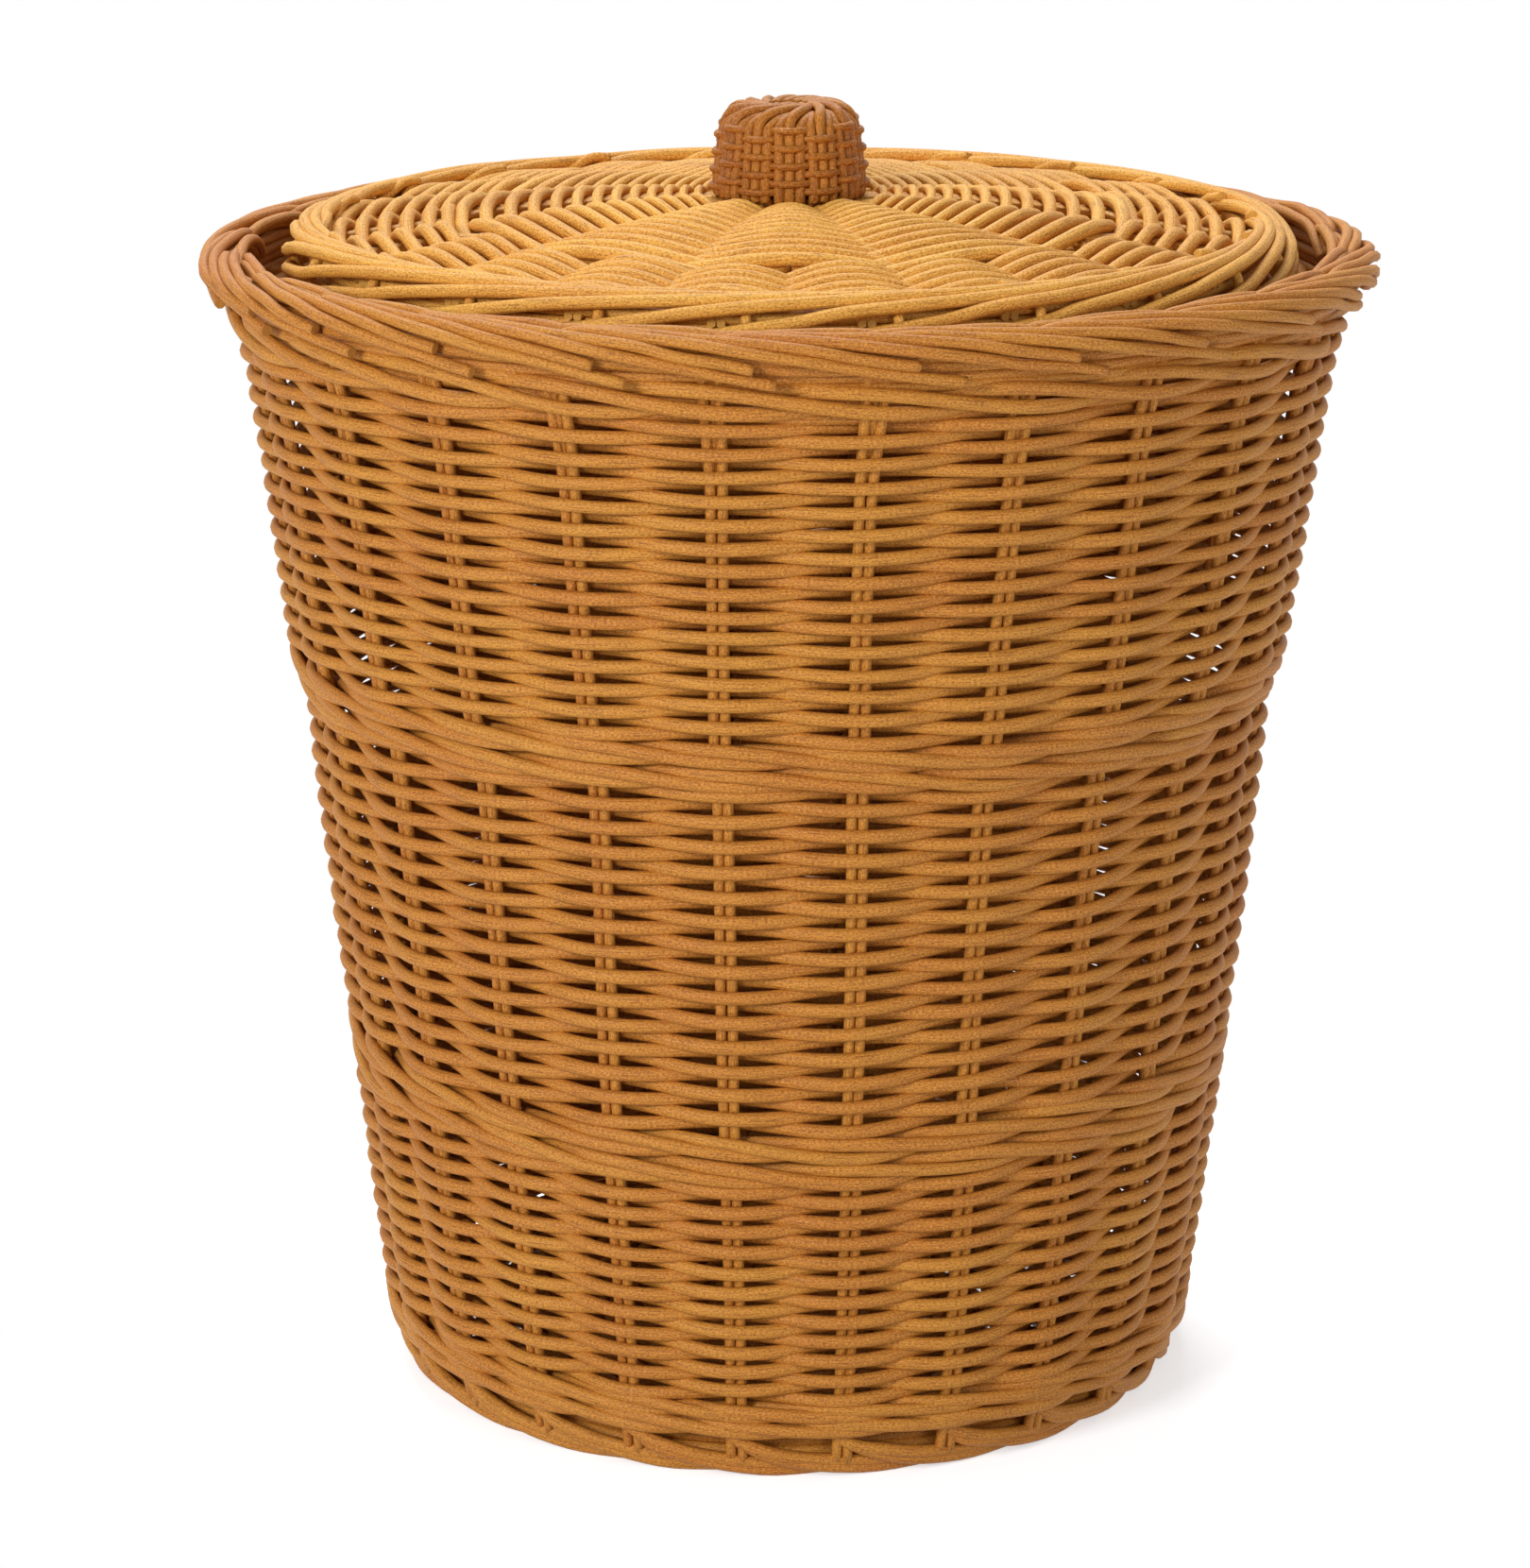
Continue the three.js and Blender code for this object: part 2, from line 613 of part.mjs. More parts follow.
// The outer weave: two chasing strands, because the forked spokes are even in number
function lidOuterStrand(strand) {
  const prongs = 2 * LID_SPOKES;
  const reach = lidWeaveOuterRadius - lidForkEnd;
  const turns = turnsIn(reach, LID_ROW_WIDTH, 2);
  const pitch = reach / (2 * turns + 1);
  const firstProng = strand * LID_SPOKES;
  const stations = [];
  for (let step = 0; step <= turns * prongs; step++) {
    const radius = lidForkEnd + pitch / 2 + (2 * pitch * step) / prongs;
    const side = step % 2 === 0 ? 1 : -1;
    stations.push({
      angle: lidSpokeAngle((firstProng + step) / 2) + prongSpread,
      radius,
      lift: side * discStandOff(LID_SPOKE_THICKNESS, SPOKE_SHARE),
    });
  }
  return discStrand(stations, domeHeight, (pitch - ROW_GAP) / 2);
}

// The lid's border: two rolls, one above the other, with a waist between them
function lidBorder() {
  const quarter = LID_BORDER_HEIGHT / 4;
  return rolledBorder(
    [
      [lidBorderInner + LID_BORDER_ROUND_WIDTH, lidBottom, 0],
      [lidRadius - LID_BORDER_ROUND_WIDTH, lidBottom, 0],
      [lidRadius - BORDER_LOBE_DEPTH, lidBottom + quarter, -1],
      [lidRadius - LID_BORDER_WAIST_DEPTH, lidBottom + 2 * quarter, 0],
      [lidRadius - BORDER_LOBE_DEPTH, lidTop - quarter, 1],
      [lidRadius - LID_BORDER_ROUND_WIDTH, lidTop, 0],
      [lidBorderInner + LID_BORDER_ROUND_WIDTH / 2, lidTop - LID_BORDER_ROUND_WIDTH / 2, 0],
      [lidBorderInner, lidEdgeLevel - LID_SPOKE_THICKNESS, 0],
    ],
    LID_SPOKES,
    lidSpokeAngle(0) + prongSpread,
  );
}

// The knob stands on the hub: ribs that meet in a crown, and one strand woven round them
const knobBottom = domeHeight(0) + LID_SPOKE_THICKNESS / 2 + CLEARANCE;
const knobTop = knobBottom + KNOB_HEIGHT;
const knobShoulder = knobTop - KNOB_CROWN_HEIGHT;
const KNOB_STAND_OFF = standOff(
  KNOB_RIB_THICKNESS,
  KNOB_RIB_WIDTH,
  KNOB_STRAND_THICKNESS,
  KNOB_TOP_RADIUS - KNOB_STRAND_THICKNESS,
  KNOB_RIBS,
);
const KNOB_RIB_DEPTH = KNOB_STAND_OFF + KNOB_STRAND_THICKNESS / 2;
const knobOuter = (height) =>
  along(
    [
      [knobBottom, KNOB_FOOT_RADIUS],
      [knobTop, KNOB_TOP_RADIUS],
    ],
    height,
  );
const knobRibRadius = (height) => knobOuter(height) - KNOB_RIB_DEPTH;
const knobRibAngle = (rib) => FRONT + (rib * FULL_TURN) / KNOB_RIBS;

function knobFrame() {
  const edge = knobOuter(knobShoulder) - KNOB_STRAND_THICKNESS;
  const crown = new THREE.LatheGeometry(
    [
      new THREE.Vector2(0, knobShoulder),
      new THREE.Vector2(edge, knobShoulder),
      new THREE.Vector2(edge - KNOB_CROWN_ROUND_WIDTH, knobTop - KNOB_CROWN_ROUND_WIDTH),
      new THREE.Vector2(edge * KNOB_CROWN_FLAT_SHARE, knobTop),
      new THREE.Vector2(0, knobTop),
    ],
    2 * KNOB_RIBS,
  ).rotateX(Math.PI / 2);
  const pieces = [facingOut(mergeVertices(withoutNormals(crown)))];
  for (let rib = 0; rib < KNOB_RIBS; rib++) {
    const outward = polar(knobRibAngle(rib), 1, 0);
    const sideways = polar(knobRibAngle(rib) + Math.PI / 2, 1, 0);
    pieces.push(
      skin(
        [knobBottom, knobShoulder + CLEARANCE].map((height) =>
          BAR_CORNERS.map(([side, depth]) =>
            outward
              .clone()
              .multiplyScalar(knobRibRadius(height) + (depth * KNOB_RIB_THICKNESS) / 2)
              .addScaledVector(sideways, (side * KNOB_RIB_WIDTH) / 2)
              .setZ(height),
          ),
        ),
      ),
    );
  }
  return fuse(pieces);
}

function knobStrand() {
  const reach = knobShoulder - CLEARANCE - knobBottom;
  const turns = turnsIn(reach, KNOB_ROW_HEIGHT, 1);
  const pitch = reach / (turns + 1);
  const halfHeight = (pitch - ROW_GAP) / 2;
  const rings = [];
  for (let step = 0; step <= turns * KNOB_RIBS; step++) {
    const height = knobBottom + pitch / 2 + (pitch * step) / KNOB_RIBS;
    const offset = (step % 2 === 0 ? 1 : -1) * KNOB_STAND_OFF;
    rings.push(
      strandSection(knobRibAngle(step), knobRibRadius, height, offset, KNOB_STRAND_THICKNESS, halfHeight),
    );
  }
  return skin(rings);
}

for (let stake = 0; stake < STAKE_PAIRS; stake++) {
  addPiece(basket, `stake_pair_${String(stake + 1).padStart(2, '0')}`, stakePair(stake), SIDE_CANE);
}
addPiece(basket, 'foot_border', footBorder(), SIDE_CANE);
addPiece(basket, 'base_spokes', baseSpokes(), SIDE_CANE);
addPiece(basket, 'base_weaver_a', baseStrand(0), SIDE_CANE);
addPiece(basket, 'base_weaver_b', baseStrand(1), SIDE_CANE);
addPiece(basket, 'foot_wale', wale(footWaleLow, footWaleHigh), SIDE_CANE);
const fields = [
  ['lower', footWaleHigh, LOWER_WALE_START_HEIGHT],
  ['middle', lowerWaleHigh, MIDDLE_WALE_START_HEIGHT],
  ['upper', middleWaleHigh, topWaleLow],
];
for (const [name, low, high] of fields) {
  addPiece(basket, `${name}_weaver_a`, randingStrand(low, high, 0), SIDE_CANE);
  addPiece(basket, `${name}_weaver_b`, randingStrand(low, high, 1), SIDE_CANE);
}
addPiece(basket, 'lower_wale', wale(LOWER_WALE_START_HEIGHT, lowerWaleHigh), SIDE_CANE);
addPiece(basket, 'middle_wale', wale(MIDDLE_WALE_START_HEIGHT, middleWaleHigh), SIDE_CANE);
addPiece(basket, 'top_wale', wale(topWaleLow, topWaleHigh), SIDE_CANE);
addPiece(basket, 'rim_border', rimBorder(), SIDE_CANE);
addPiece(basket, 'lid_ledge', lidLedge(), SIDE_CANE);

addPiece(lid, 'lid_spokes', lidSpokes(), LID_CANE);
addPiece(lid, 'lid_inner_weaver', lidInnerStrand(), LID_CANE);
addPiece(lid, 'lid_outer_weaver_a', lidOuterStrand(0), LID_CANE);
addPiece(lid, 'lid_outer_weaver_b', lidOuterStrand(1), LID_CANE);
addPiece(lid, 'lid_border', lidBorder(), LID_CANE);
addPiece(lid, 'knob_frame', knobFrame(), KNOB_CANE);
addPiece(lid, 'knob_weaver', knobStrand(), KNOB_CANE);

const wasteBasket = new THREE.Group();
wasteBasket.add(basket, lid);

export default wasteBasket;
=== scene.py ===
import math

import bpy
import numpy as np
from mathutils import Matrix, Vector


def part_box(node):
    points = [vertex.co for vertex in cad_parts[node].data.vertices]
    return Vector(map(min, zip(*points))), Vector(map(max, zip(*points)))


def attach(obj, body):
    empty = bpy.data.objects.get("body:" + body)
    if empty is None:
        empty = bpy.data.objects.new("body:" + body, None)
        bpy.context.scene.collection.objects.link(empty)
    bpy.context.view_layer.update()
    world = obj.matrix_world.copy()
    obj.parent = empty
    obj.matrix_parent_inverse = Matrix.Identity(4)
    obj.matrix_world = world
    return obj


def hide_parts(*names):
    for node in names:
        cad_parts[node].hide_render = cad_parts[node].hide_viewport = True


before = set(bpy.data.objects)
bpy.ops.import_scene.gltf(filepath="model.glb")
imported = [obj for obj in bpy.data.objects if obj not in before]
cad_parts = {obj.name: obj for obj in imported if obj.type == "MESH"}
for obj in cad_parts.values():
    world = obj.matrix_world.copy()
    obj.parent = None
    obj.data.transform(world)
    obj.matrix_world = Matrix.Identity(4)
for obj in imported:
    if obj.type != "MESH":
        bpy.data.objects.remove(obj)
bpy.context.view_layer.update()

bl_info = {
    "name": "Wicker waste basket",
    "version": (1, 0, 0),
    "blender": (4, 5, 0),
    "location": "View3D > Sidebar > Basket",
    "description": "Weaves a round rattan waste basket and its knobbed lid over the packed frame",
    "category": "Add Mesh",
}

MM = 0.001
UP = np.array((0.0, 0.0, 1.0))
FRONT = -math.pi / 2
BEHIND = FRONT + math.pi

# Wall: pairs of stakes, and the radius of its outside at each height
STAKES = 24
STAKE_STEP = math.tau / STAKES
WALL_HEIGHTS = np.array([0, 10, 30, 60, 110, 150, 172.5, 184.5, 252, 270.6, 280]) * MM
WALL_OUTSIDES = np.array([98.0, 100.4, 103.2, 107.1, 112.4, 116.0, 118.0, 122.2, 131.2, 136.2, 137.2]) * MM
STAKE_INSET = 4.0 * MM
STAKE_PROUD = 0.5 * MM

# Wall strands: they start and end at the back, and step up to the next row over four stakes
SEAM = BEHIND + STAKE_STEP
STEP_UP = 4 / STAKES
TUCK_IN = 3.2 * MM
TOP_WALE_LIFT = 3.4 * MM
FLATNESS = 0.84
RISE_BEHIND = 0.4 * MM
RANDING_SAMPLES = 10
WALING_SAMPLES = 12
WALE_STRANDS = 3
WALE_CROWN = 0.15
STRAND_SIDES = 10

# The randing strands are fuller below the first of these heights and finer above the second
FIELD_HEIGHTS = np.array([150, 190]) * MM
FIELD_FULLNESS = (1.045, 0.975)
WALE_FULLNESS = 1.03

# Round the back, from this sine of the angle on, rows are beaten down: fuller by a share, and steadier
SNUG_FROM = -0.2
SNUG_OVER = 0.5
SNUG_RANDING = 0.17
SNUG_WALING = 0.1
SNUG_STEADINESS = 0.85

# Hand work: over what length of cane, in metres, a strand strays from its row, from the wall and in size
ROW_REACH = 0.13
WALE_ROW_REACH = 0.16
WALL_REACH = 0.09
SIZE_REACH = 0.4
RANDING_SIZE_SPREAD = 0.08
WALING_SIZE_SPREAD = 0.1

# Rows dip and the wall leans together: waves round the wall, turn with height, phase, and size in mm
FREE_HEIGHT = 256 * MM
DIPS = ((3, 40, 0.4, 0.45), (5, -25, 1.9, 0.35), (9, 55, 0.0, 0.25))
LEANS = ((2, 30, 2.1, 0.45), (4, -38, 0.3, 0.35))

# Canes, in metres: after how much the next is joined in, with its own tone, and how far patterns shift
CANE_LENGTH = 2.6
CANE_SHIFT = 5
HOOP_WOBBLE = 0.2 * MM
HOOP_SIZE_SPREAD = 0.02

# Bundles of four rods, under the lid and in the base, each of which forks into two pairs
FORK_PLACES = (-1.5, -0.5, 0.5, 1.5)
FORK_GAP = 2.2
FORK_LENGTH = 10
FORK_SIDES = 6

# Rattan core's skin, lengths in mm: length, width and roughness of the vessel lines and of the grain
VESSEL_LINES = (9, 0.4, 0.6)
PORE_GRAIN = (0.7, 0.4, 0.7)
PATCH_WIDTH = 25
TONE_WEIGHT = 0.6
SHADE_RANGE = (0.35, 1.2)
PITH_PORE_GAP = 0.4
PITH_PORE_SHARE = 0.55
PITH_ROUGHNESS = 0.8
DARK_SHARES = (0.44, 0.34, 0.26)
PALE_SHARES = (1.34, 1.42, 1.6)
ROUGHNESS_SPREAD = 0.1
SKIN_RELIEF = 0.16 * MM

# A colour Mix node's sockets by number: first and second colour, and result
MIX_FIRST = 6
MIX_SECOND = 7
MIX_RESULT = 2


def linear(hexa):
    """Turns an sRGB hex colour into linear numbers."""
    parts = [int(hexa[i : i + 2], 16) / 255 for i in (1, 3, 5)]
    return tuple(p / 12.92 if p <= 0.04045 else ((p + 0.055) / 1.055) ** 2.4 for p in parts) + (1.0,)


class BasketSizes(bpy.types.PropertyGroup):
    """Sizes of the canes and turns of the weave"""

    weaver_diameter: bpy.props.FloatProperty(
        name="Weaver diameter", description="Round cane woven round the wall",
        default=3.15 * MM, unit="LENGTH")
    stake_diameter: bpy.props.FloatProperty(
        name="Stake diameter", description="Upright rods of the wall, set in pairs",
        default=2.5 * MM, unit="LENGTH")
    border_rod_diameter: bpy.props.FloatProperty(
        name="Border rod diameter", description="Rods turned down into the rim",
        default=2.7 * MM, unit="LENGTH")
    knob_strand_diameter: bpy.props.FloatProperty(
        name="Knob strand diameter", description="Fine strand woven round the knob",
        default=1.9 * MM, unit="LENGTH")
    lower_turns: bpy.props.IntProperty(
        name="Lower turns", description="Turns of each strand between foot and lower wale", default=11, min=1)
    middle_turns: bpy.props.IntProperty(
        name="Middle turns", description="Turns of each strand between the wales", default=14, min=1)
    upper_turns: bpy.props.IntProperty(
        name="Upper turns", description="Turns of each strand under the rim", default=14, min=1)
    waver: bpy.props.FloatProperty(
        name="Hand waver", description="How far a strand strays from its row",
        default=0.34 * MM, unit="LENGTH")


class BasketColours(bpy.types.PropertyGroup):
    """Colours of the stained canes and the floor; the lid's cane is painted paler for light from above, and
    the knob's is partly painted darker for shade
    """

    side_warm: bpy.props.FloatVectorProperty(
        name="Side, reddest cane", description="Stained cane of the wall",
        subtype="COLOR", size=4, default=linear("#BD742A"))
    side_gold: bpy.props.FloatVectorProperty(
        name="Side, yellowest cane", description="Stained cane of the wall",
        subtype="COLOR", size=4, default=linear("#CB8A33"))
    # The lid's cane is painted paler than the wall's: painted light, for cane that faces up into the lamps.
    lid_warm: bpy.props.FloatVectorProperty(
        name="Lid, reddest cane", description="Lid cane painted paler for light from above",
        subtype="COLOR", size=4, default=linear("#DB953C"))
    lid_gold: bpy.props.FloatVectorProperty(
        name="Lid, yellowest cane", description="Lid cane painted paler for light from above",
        subtype="COLOR", size=4, default=linear("#EFB350"))
    # The knob's cane is painted darker than the wall's: partly stain pooled in its close weave, partly
    # painted shade for its shaded uprights.
    knob_warm: bpy.props.FloatVectorProperty(
        name="Knob, reddest cane", description="Knob cane darkened by pooled stain and painted shade",
        subtype="COLOR", size=4, default=linear("#9E5A1E"))
    knob_gold: bpy.props.FloatVectorProperty(
        name="Knob, yellowest cane", description="Knob cane darkened by pooled stain and painted shade",
        subtype="COLOR", size=4, default=linear("#C07C2A"))
    floor: bpy.props.FloatVectorProperty(
        name="Floor", description="Plain pale floor",
        subtype="COLOR", size=4, default=linear("#E8EFF6"))


def node(tree, kind, inputs=None, **settings):
    """Adds a node: settings are its own values, inputs are numbers or the sockets that feed it."""
    made = tree.nodes.new(kind)
    for name, value in settings.items():
        setattr(made, name, value)
    for name, value in (inputs or {}).items():
        socket = made.inputs[name]
        if isinstance(value, bpy.types.NodeSocket):
            tree.links.new(value, socket)
        else:
            socket.default_value = value
    return made


def emptied(owner):
    """The node tree of a new material or world, with nothing in it."""
    owner.use_nodes = True
    owner.node_tree.nodes.clear()
    return owner.node_tree


def seen_straight(tree):
    """1 for a ray from the camera, or one sent on by gloss or clear matter, which all show the backdrop."""
    rays = node(tree, "ShaderNodeLightPath").outputs
    both = node(tree, "ShaderNodeMath", {0: rays["Is Camera Ray"], 1: rays["Is Glossy Ray"]}, operation="ADD")
    return node(tree, "ShaderNodeMath", {0: both.outputs[0], 1: rays["Is Transmission Ray"]},
                operation="ADD", use_clamp=True).outputs[0]


def rattan_core(tree, warm, gold, matt, shine):
    """Rattan core, stained: fine lines run along each cane, with dark and pale flecks and a satin skin."""
    along = node(tree, "ShaderNodeUVMap", uv_map="cane").outputs["UV"]
    place = node(tree, "ShaderNodeTexCoord").outputs["Object"]
    tone = node(tree, "ShaderNodeAttribute", attribute_name="cane_tone").outputs["Fac"]

    # Vessel lines run along the cane, and the grain is where the stain sat in the open pores
    noises = []
    for length, width, roughness in (VESSEL_LINES, PORE_GRAIN):
        scale = (1 / (length * MM), 1 / (width * MM), 1)
        at = node(tree, "ShaderNodeMapping", {"Vector": along, "Scale": scale}).outputs[0]
        noise = node(tree, "ShaderNodeTexNoise",
                     {"Vector": at, "Scale": 1.0, "Detail": 3.0, "Roughness": roughness},
                     noise_dimensions="2D")
        noises.append(noise.outputs["Fac"])
    lines, grain = noises

    # The ground goes from warm to gold with each cane's tone and with patches of unevenly dried stain
    patches = node(tree, "ShaderNodeTexNoise",
                   {"Vector": place, "Scale": 1 / (PATCH_WIDTH * MM), "Detail": 2.0}).outputs["Fac"]
    shade = node(tree, "ShaderNodeMath", {0: tone, 1: TONE_WEIGHT, 2: patches},
                 operation="MULTIPLY_ADD").outputs[0]
    share = node(tree, "ShaderNodeMapRange", {"Value": shade, "From Min": SHADE_RANGE[0],
                                              "From Max": SHADE_RANGE[1]}).outputs[0]
    colour = node(tree, "ShaderNodeMix", {0: share, MIX_FIRST: warm, MIX_SECOND: gold},
                  data_type="RGBA").outputs[MIX_RESULT]

    # Dark lines, dark pores and pale flecks lie over it: where each noise starts and ends, and its share
    dark = tuple(c * part for c, part in zip(warm[:3], DARK_SHARES)) + (1.0,)
    pale = tuple(min(1.0, c * part) for c, part in zip(gold[:3], PALE_SHARES)) + (1.0,)
    layers = ((lines, 0.5, 0.76, 0.85, dark), (grain, 0.5, 0.28, 0.85, dark), (grain, 0.5, 0.74, 0.8, pale))
    for noise, start, end, most, over in layers:
        share = node(tree, "ShaderNodeMapRange",
                     {"Value": noise, "From Min": start, "From Max": end, "To Max": most}).outputs[0]
        colour = node(tree, "ShaderNodeMix", {0: share, MIX_FIRST: colour, MIX_SECOND: over},
                      data_type="RGBA").outputs[MIX_RESULT]

    relief = node(tree, "ShaderNodeMath", {0: lines, 1: grain}, operation="ADD").outputs[0]
    bump = node(tree, "ShaderNodeBump",
                {"Height": relief, "Strength": 0.6, "Distance": SKIN_RELIEF}).outputs[0]
    rough = node(tree, "ShaderNodeMapRange", {"Value": grain, "To Min": matt - ROUGHNESS_SPREAD,
                                              "To Max": matt + ROUGHNESS_SPREAD}).outputs[0]
    skin = node(tree, "ShaderNodeBsdfPrincipled", {"Base Color": colour, "Roughness": rough,
                                                   "Specular IOR Level": shine, "Normal": bump})
    node(tree, "ShaderNodeOutputMaterial", {"Surface": skin.outputs[0]})


def cut_pith(tree, colour):
    """Cane cut square with a knife: pale dry pith, open pores, no sheen."""
    place = node(tree, "ShaderNodeTexCoord").outputs["Object"]
    pores = node(tree, "ShaderNodeTexVoronoi",
                 {"Vector": place, "Scale": 1 / (PITH_PORE_GAP * MM)}).outputs["Distance"]
    deep = tuple(c * PITH_PORE_SHARE for c in colour[:3]) + (1.0,)
    mixed = node(tree, "ShaderNodeMix", {0: pores, MIX_FIRST: deep, MIX_SECOND: colour},
                 data_type="RGBA").outputs[MIX_RESULT]
    pith = node(tree, "ShaderNodeBsdfPrincipled", {"Base Color": mixed, "Roughness": PITH_ROUGHNESS})
    node(tree, "ShaderNodeOutputMaterial", {"Surface": pith.outputs[0]})


def unit(vectors):
    """Each vector brought to length 1."""
    return vectors / np.linalg.norm(vectors, axis=-1, keepdims=True)


def ease(share):
    """Goes from 0 to 1 with level ends: three times the square less twice the cube."""
    share = np.clip(share, 0, 1)
    return share * share * (3 - 2 * share)


def polar(angle, radius, height):
    """Points at an angle and radius round the upright axis, at a height."""
    angle, radius, height = np.broadcast_arrays(angle, radius, height)
    return np.stack([radius * np.cos(angle), radius * np.sin(angle), height], axis=-1)


def smooth_line(knots, samples):
    """A smooth line through knots: between two, the cubic whose end slopes are those of their neighbours."""
    knots = np.asarray(knots, dtype=float)
    at = np.linspace(0, len(knots) - 1, samples)
    i = np.minimum(at.astype(int), len(knots) - 2)
    f = (at - i)[:, None]
    before, start, end, after = (knots[np.clip(i + k, 0, len(knots) - 1)] for k in (-1, 0, 1, 2))
    return 0.5 * (2 * start + (end - before) * f + (2 * before - 5 * start + 4 * end - after) * f ** 2
                  + (3 * start - before - 3 * end + after) * f ** 3)


def wander(distance, reach, size, chance):
    """A slow wobble along a cane: three sine waves of unlike lengths added up."""
    lengths = reach * np.array([1.0, 0.61, 0.37])
    phases = chance.uniform(0, math.tau, 3)
    waves = np.sin(math.tau * distance[:, None] / lengths + phases)
    return size * (waves @ np.array([0.5, 0.3, 0.2]))


class Bundle:
    """Gathers canes, each an ellipse carried along a path, and makes one mesh of them."""

    def __init__(self, seed):
        self.chance = np.random.default_rng(seed)
        self.points, self.corners, self.sizes, self.places, self.tones, self.cut = [], [], [], [], [], []
        self.count = 0

    def shaken(self, knots, size):
        """The knots, each moved by chance, by up to this size each way."""
        return knots + self.chance.uniform(-size, size, knots.shape)

    def add(self, path, facing, width, thickness=None, sides=8, closed=False):
        """An ellipse of this width, and of this thickness along facing, is carried along the path.

        Each ring lies across the path's own direction: across is facing turned a quarter round it, and a
        point is the path's point + across * cos * half the width + outwards * sin * half the thickness.
        """
        rings = len(path)
        width = np.broadcast_to(width, rings)
        thickness = width if thickness is None else np.broadcast_to(thickness, rings)
        ahead = np.roll(path, -1, 0) - np.roll(path, 1, 0) if closed else np.gradient(path, axis=0)
        ahead = unit(ahead)
        across = unit(np.cross(facing, ahead))
        outwards = np.cross(ahead, across)
        turn = math.tau * (np.arange(sides) + 0.5) / sides
        shell = (path[:, None] + across[:, None] * (np.cos(turn) * width[:, None] / 2)[..., None]
                 + outwards[:, None] * (np.sin(turn) * thickness[:, None] / 2)[..., None])
        last = rings if closed else rings - 1
        i = np.arange(last)[:, None]
        j = np.arange(sides)[None]
        here, there = i * sides, (i + 1) % rings * sides
        k = (j + 1) % sides
        quads = np.stack([here + j, here + k, there + k, there + j], axis=-1).reshape(-1, 4)

        # The UV is in metres: how far along the cane, and how far round it
        gaps = np.linalg.norm(np.roll(path, -1, 0) - path, axis=1)
        length = np.concatenate([[0], np.cumsum(gaps)]) + self.chance.uniform(0, CANE_SHIFT)
        round_step = math.pi * width.mean() / sides
        u, v = np.broadcast_arrays(length[:, None], (round_step * np.arange(sides + 1))[None])
        uv = np.stack([u, v], axis=-1)
        a, b = uv[:last, :-1], uv[:last, 1:]
        c, d = uv[1 : last + 1, 1:], uv[1 : last + 1, :-1]
        self.corners.append((quads + self.count).ravel())
        self.sizes.append(np.full(len(quads), 4))
        self.cut.append(np.zeros(len(quads), dtype=bool))
        self.places.append(np.stack([a, b, c, d], axis=2).reshape(-1, 2))
        canes = self.chance.random(int(length[-1] / CANE_LENGTH) + 2)
        self.tones.append(np.repeat(canes[(length[:rings] / CANE_LENGTH).astype(int)], sides))
        self.points.append(shell.reshape(-1, 3))
        if not closed:
            ring = np.arange(sides)
            disc = np.stack([np.cos(turn), np.sin(turn)], axis=-1) * width.mean() / 2
            self.corners += [ring[::-1] + self.count, ring + (rings - 1) * sides + self.count]
            self.sizes.append(np.full(2, sides))
            self.cut.append(np.ones(2, dtype=bool))
            self.places += [disc[::-1], disc]
        self.count += rings * sides

    def add_round(self, angle, radius, height, width, thickness=None, **options):
        """A cane through these places round the upright axis, with its thickness level and outwards."""
        self.add(polar(angle, radius, height), polar(angle, 1.0, 0.0), width, thickness, **options)

    def piece(self, name, body, materials, nodes):
        """Makes the mesh, with where each corner lies along its cane as UV, and rides it on its body."""
        mesh = bpy.data.meshes.new(name)
        points = np.concatenate(self.points)
        corners = np.concatenate(self.corners).astype(np.int32)
        sizes = np.concatenate(self.sizes)
        mesh.vertices.add(len(points))
        mesh.vertices.foreach_set("co", points.ravel().astype(np.float32))
        mesh.loops.add(len(corners))
        mesh.loops.foreach_set("vertex_index", corners)
        mesh.polygons.add(len(sizes))
        starts = np.concatenate([[0], np.cumsum(sizes)[:-1]]).astype(np.int32)
        mesh.polygons.foreach_set("loop_start", starts)
        cut = np.concatenate(self.cut)
        mesh.polygons.foreach_set("material_index", cut.astype(np.int32))
        mesh.polygons.foreach_set("use_smooth", ~cut)
        mesh.uv_layers.new(name="cane").uv.foreach_set("vector", np.concatenate(self.places).ravel())
        tones = mesh.attributes.new("cane_tone", "FLOAT", "POINT")
        tones.data.foreach_set("value", np.concatenate(self.tones).astype(np.float32))
        mesh.update(calc_edges=True)
        mesh.validate()
        for material in materials:
            mesh.materials.append(material)
        made = bpy.data.objects.new(name, mesh)
        bpy.context.scene.collection.objects.link(made)
        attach(made, body)
        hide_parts(*nodes)


# Roughness and gloss of each part's skin
FINISHES = {"side": (0.58, 0.32), "lid": (0.58, 0.3), "knob": (0.5, 0.26)}


def finish(name, fill, *values):
    """The material of this name: fill makes its nodes the first time."""
    material = bpy.data.materials.get(name)
    if material is None:
        material = bpy.data.materials.new(name)
        fill(emptied(material), *values)
    return material


def finishes(part):
    """The cane and cut end materials of the side, the lid or the knob."""
    colours = bpy.context.scene.basket_colours
    # The lid's colours here are painted paler for light from above, and the knob's are partly painted darker
    # for shade.
    warm = tuple(getattr(colours, part + "_warm"))
    gold = tuple(getattr(colours, part + "_gold"))
    return (finish(f"stained rattan core, {part}", rattan_core, warm, gold, *FINISHES[part]),
            finish(f"cut rattan pith, {part}", cut_pith, gold))


def stake_angle(pair):
    """Where a pair of stakes stands: the first two pairs straddle the middle of the front."""
    return FRONT + (pair + 0.5) * STAKE_STEP


